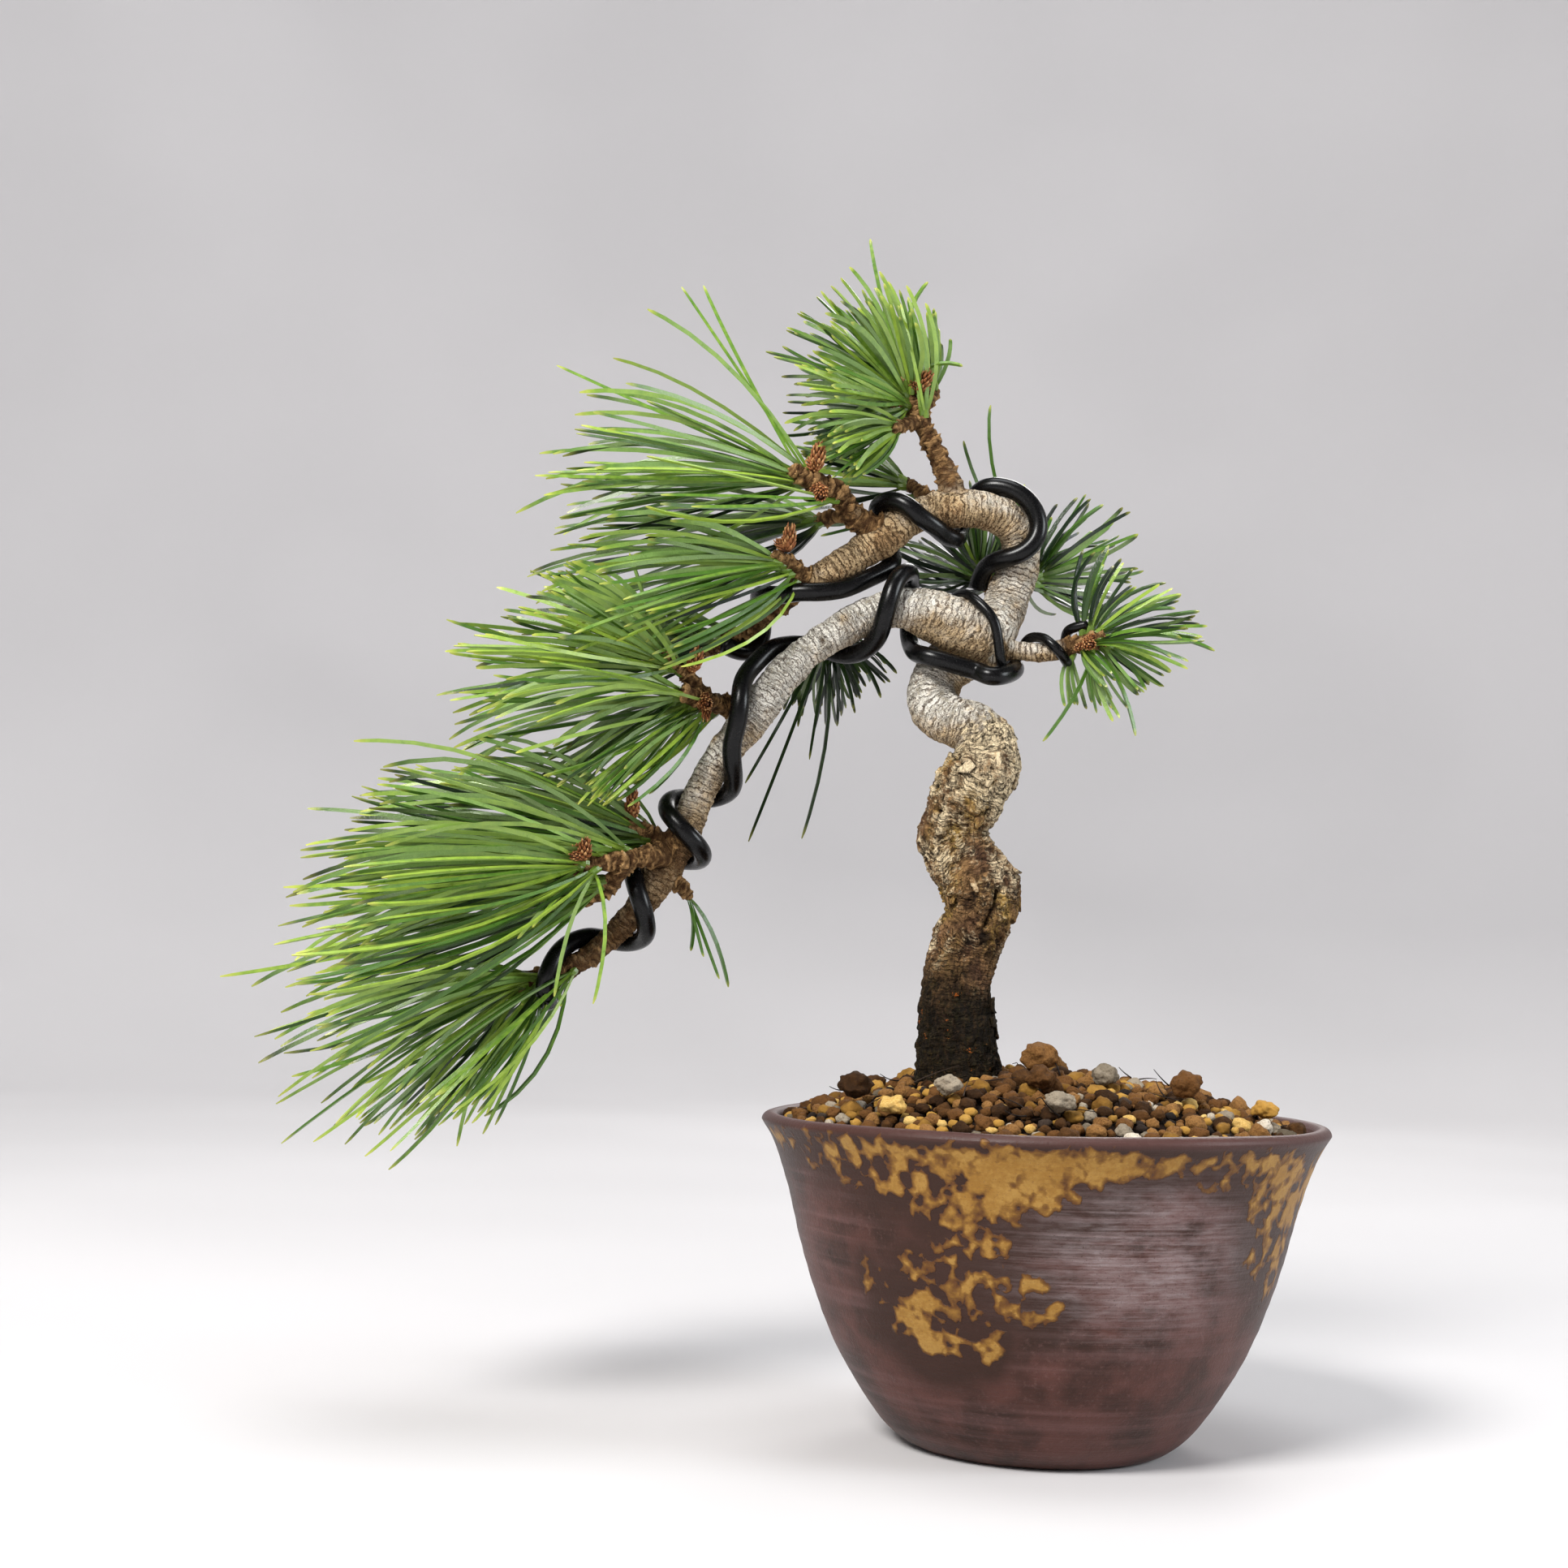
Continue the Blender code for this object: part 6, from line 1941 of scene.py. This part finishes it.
@dataclass
class Buds:
    """The scaly brown buds."""

    seed: int = 33
    shoots: int = 3
    # Each scale: (share of its length, share of its half width, share of the bud's width it stands out)
    scale: tuple = ((0.0, 0.8, 0.0), (0.4, 1.0, 0.1), (0.75, 0.6, 0.1), (1.0, 0.08, 0.02))
    scale_edges: tuple = (0.1, 0.4, 0.8, 1.0)
    scale_thickness: float = 0.12

    @staticmethod
    def outline(shares: np.ndarray) -> np.ndarray:
        """Find a bud's half width along it, as a share of its widest."""
        return np.sin(np.pi * (0.18 + 0.82 * shares)) ** 0.7

    def bud(self, parts: MeshParts, foot: np.ndarray, axis: np.ndarray, length: float, width: float,
            chance: np.random.Generator) -> None:
        """Cover one bud with overlapping scales.

        Args:
            parts: Gathers the shapes.
            foot: Where it stands.
            axis: Its direction.
            length: Its length.
            width: Its half width.
            chance: Random numbers.
        """
        first = unit(np.cross(axis, (0.3, 0.9, 0.2)))
        second = np.cross(axis, first)
        shares = np.linspace(0.0, 1.0, 9)
        swell = width * self.outline(shares) * 0.9
        verts, faces = tube(foot + np.outer(shares * length, axis), np.maximum(swell, 0.1), 12)
        parts.add(verts, faces, 0, {"edge": 0.1, "tint": 0.3})
        scales = int(16 + length * 5)
        for number in range(scales):
            share = number / scales
            turn = number * GOLDEN_ANGLE
            around = first * math.cos(turn) + second * math.sin(turn)
            across = np.cross(axis, around)
            level = share * 0.86
            reach = width * float(self.outline(level))
            tall = length * 0.3 * chance.uniform(0.85, 1.2)
            wide = width * 0.75 * (1.0 - 0.5 * share)
            root = foot + axis * level * length + around * reach * 0.85
            lean = unit(axis + around * (0.34 * (1.0 - share) + 0.05))
            rows = []
            for along, spread, out in self.scale:
                for aside in (-1.0, 0.0, 1.0):
                    cup = (1.0 - abs(aside)) * 0.3 * wide
                    rows.append(root + lean * along * tall + across * aside * spread * wide * 0.6
                                + around * (out * width + cup))
            verts, faces = plate(np.array(rows), 3, -around * self.scale_thickness * width)
            edge = np.tile(np.repeat(self.scale_edges, 3), 2)
            parts.add(verts, faces, 0, {"edge": edge, "tint": chance.random()})

    def build(self) -> None:
        """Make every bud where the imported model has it, with smaller ones beside it."""
        material = SheathFinish().material()
        chance = np.random.default_rng(self.seed)
        for node in sorted(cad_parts):
            if not node.startswith("bud_"):
                continue
            low, high = (np.array(corner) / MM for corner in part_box(node))
            places = vertex_places(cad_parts[node].data)
            middle = (low + high) / 2
            spread = places - places.mean(axis=0)
            axis = np.linalg.svd(spread, full_matrices=False)[2][0]
            along = spread @ axis
            near = np.abs(along - along.max()) < 0.25 * np.ptp(along)
            far = np.abs(along - along.min()) < 0.25 * np.ptp(along)
            wide_near = np.linalg.norm(spread[near] - np.outer(along[near], axis), axis=1).max()
            wide_far = np.linalg.norm(spread[far] - np.outer(along[far], axis), axis=1).max()
            if wide_near > wide_far:
                axis = -axis
            length = float(np.ptp(along)) * 0.82
            foot = middle - axis * length * 0.62
            parts = MeshParts()
            self.bud(parts, foot, axis, length * 1.15, length * 0.24, chance)
            for _ in range(self.shoots):
                lean = unit(axis + chance.normal(size=3) * 0.45)
                start = foot + chance.normal(size=3) * 0.35
                self.bud(parts, start, lean, length * chance.uniform(0.55, 0.8), length * 0.17, chance)
            claim(parts.build(node.replace("bud", "scaly_bud"), [material]), "bud_scale", node)


# ---- studio

@dataclass
class Studio:
    """The pale floor and backdrop, the soft lights and the camera."""

    camera_place: tuple = (-0.0497, -0.420, 0.085)
    camera_pitch: float = 4.56
    camera_roll: float = 2.0
    lens: float = 52.0
    sensor: float = 36.0
    wall: tuple = srgb(212, 210, 211)
    floor_reach: float = 1.0
    curve: float = 0.6
    curve_steps: int = 12
    wall_height: float = 2.2
    sides: int = 96
    sky: tuple = (0.90, 0.92, 0.95, 1.0)
    sky_strength: float = 0.12
    # Lights: (name, place, what it points at, width, watts, colour)
    lights: tuple = (
        ("key", (-0.50, -0.75, 0.80), (-0.04, 0.0, 0.12), 0.38, 16.5, (1.0, 0.985, 0.96)),
        ("back", (0.25, 0.95, 0.75), (-0.04, 0.0, 0.12), 0.5, 4.0, (1.0, 0.99, 0.97)),
        ("side", (0.80, -0.25, 0.40), (-0.04, 0.0, 0.12), 0.4, 4.6, (0.9, 0.96, 1.0)),
        ("wash", (-0.05, 0.0, 1.7), (-0.05, 0.9, 0.2), 1.0, 11.0, (0.97, 0.985, 1.0)))

    def build_sweep(self) -> None:
        """Make the round floor that curves up into a backdrop on every side."""
        profile = [(self.floor_reach / 2, 0.0), (self.floor_reach, 0.0)]
        for step in range(1, self.curve_steps + 1):
            turn = math.pi / 2 * step / self.curve_steps
            profile.append((self.floor_reach + self.curve * math.sin(turn),
                            self.curve - self.curve * math.cos(turn)))
        profile.append((self.floor_reach + self.curve, self.wall_height))
        sides = self.sides
        turns = np.arange(sides) * math.tau / sides
        verts = [(0.0, 0.0, 0.0)]
        for reach, level in profile:
            verts += [(reach * math.cos(turn), reach * math.sin(turn), level) for turn in turns]
        faces = [(0, side + 1, (side + 1) % sides + 1) for side in range(sides)]
        for ring in range(len(profile) - 1):
            low, high = ring * sides + 1, (ring + 1) * sides + 1
            for side in range(sides):
                follow = (side + 1) % sides
                faces.append((low + side, high + side, high + follow, low + follow))
        mesh = bpy.data.meshes.new("studio_sweep")
        mesh.from_pydata(verts, [], faces)
        finish = PlainFinish("backdrop", self.wall, 400.0, 0.9).material()
        link_mesh("studio_sweep", mesh, [finish])

    def light(self, name: str, place: tuple, target: tuple, size: float, power: float,
              colour: tuple) -> None:
        """Hang one soft area light.

        Args:
            name: Its name.
            place: Where it hangs.
            target: What it points at.
            size: Its width.
            power: Its power in watts.
            colour: Its colour.
        """
        lamp = bpy.data.lights.new(name, "AREA")
        lamp.shape = "DISK"
        lamp.size = size
        lamp.energy = power
        lamp.color = colour
        obj = bpy.data.objects.new(name, lamp)
        obj.location = place
        obj.rotation_euler = (Vector(target) - Vector(place)).to_track_quat("-Z", "Y").to_euler()
        bpy.context.scene.collection.objects.link(obj)

    def build_lights(self) -> None:
        """Set the lights and the even sky."""
        world = bpy.data.worlds.new("studio_air")
        world.use_nodes = True
        background = world.node_tree.nodes["Background"]
        background.inputs["Color"].default_value = self.sky
        background.inputs["Strength"].default_value = self.sky_strength
        bpy.context.scene.world = world
        for lamp in self.lights:
            self.light(*lamp)

    def build_camera(self) -> None:
        """Set the camera."""
        data = bpy.data.cameras.new("view")
        data.lens = self.lens
        data.sensor_width = self.sensor
        camera = bpy.data.objects.new("view", data)
        tilt = Matrix.Rotation(math.radians(90.0 + self.camera_pitch), 4, "X")
        roll = Matrix.Rotation(math.radians(self.camera_roll), 4, "Z")
        camera.matrix_world = Matrix.Translation(Vector(self.camera_place)) @ tilt @ roll
        bpy.context.scene.collection.objects.link(camera)
        bpy.context.scene.camera = camera

    def build(self) -> None:
        """Make the studio."""
        self.build_sweep()
        self.build_lights()
        self.build_camera()
        bpy.context.scene.view_settings.view_transform = "Standard"


def main() -> None:
    """Build every sub-assembly in order."""
    logging.basicConfig(level=logging.INFO, format="%(name)s %(message)s")
    limbs = {name: Limb(name) for name in LIMBS}
    pot = Pot()
    pot.build()
    Soil(pot).build()
    Wood(limbs).build()
    TrainingWires(limbs).build()
    Needles(limbs).build()
    Buds().build()
    Studio().build()


if __name__ == "__main__":
    main()
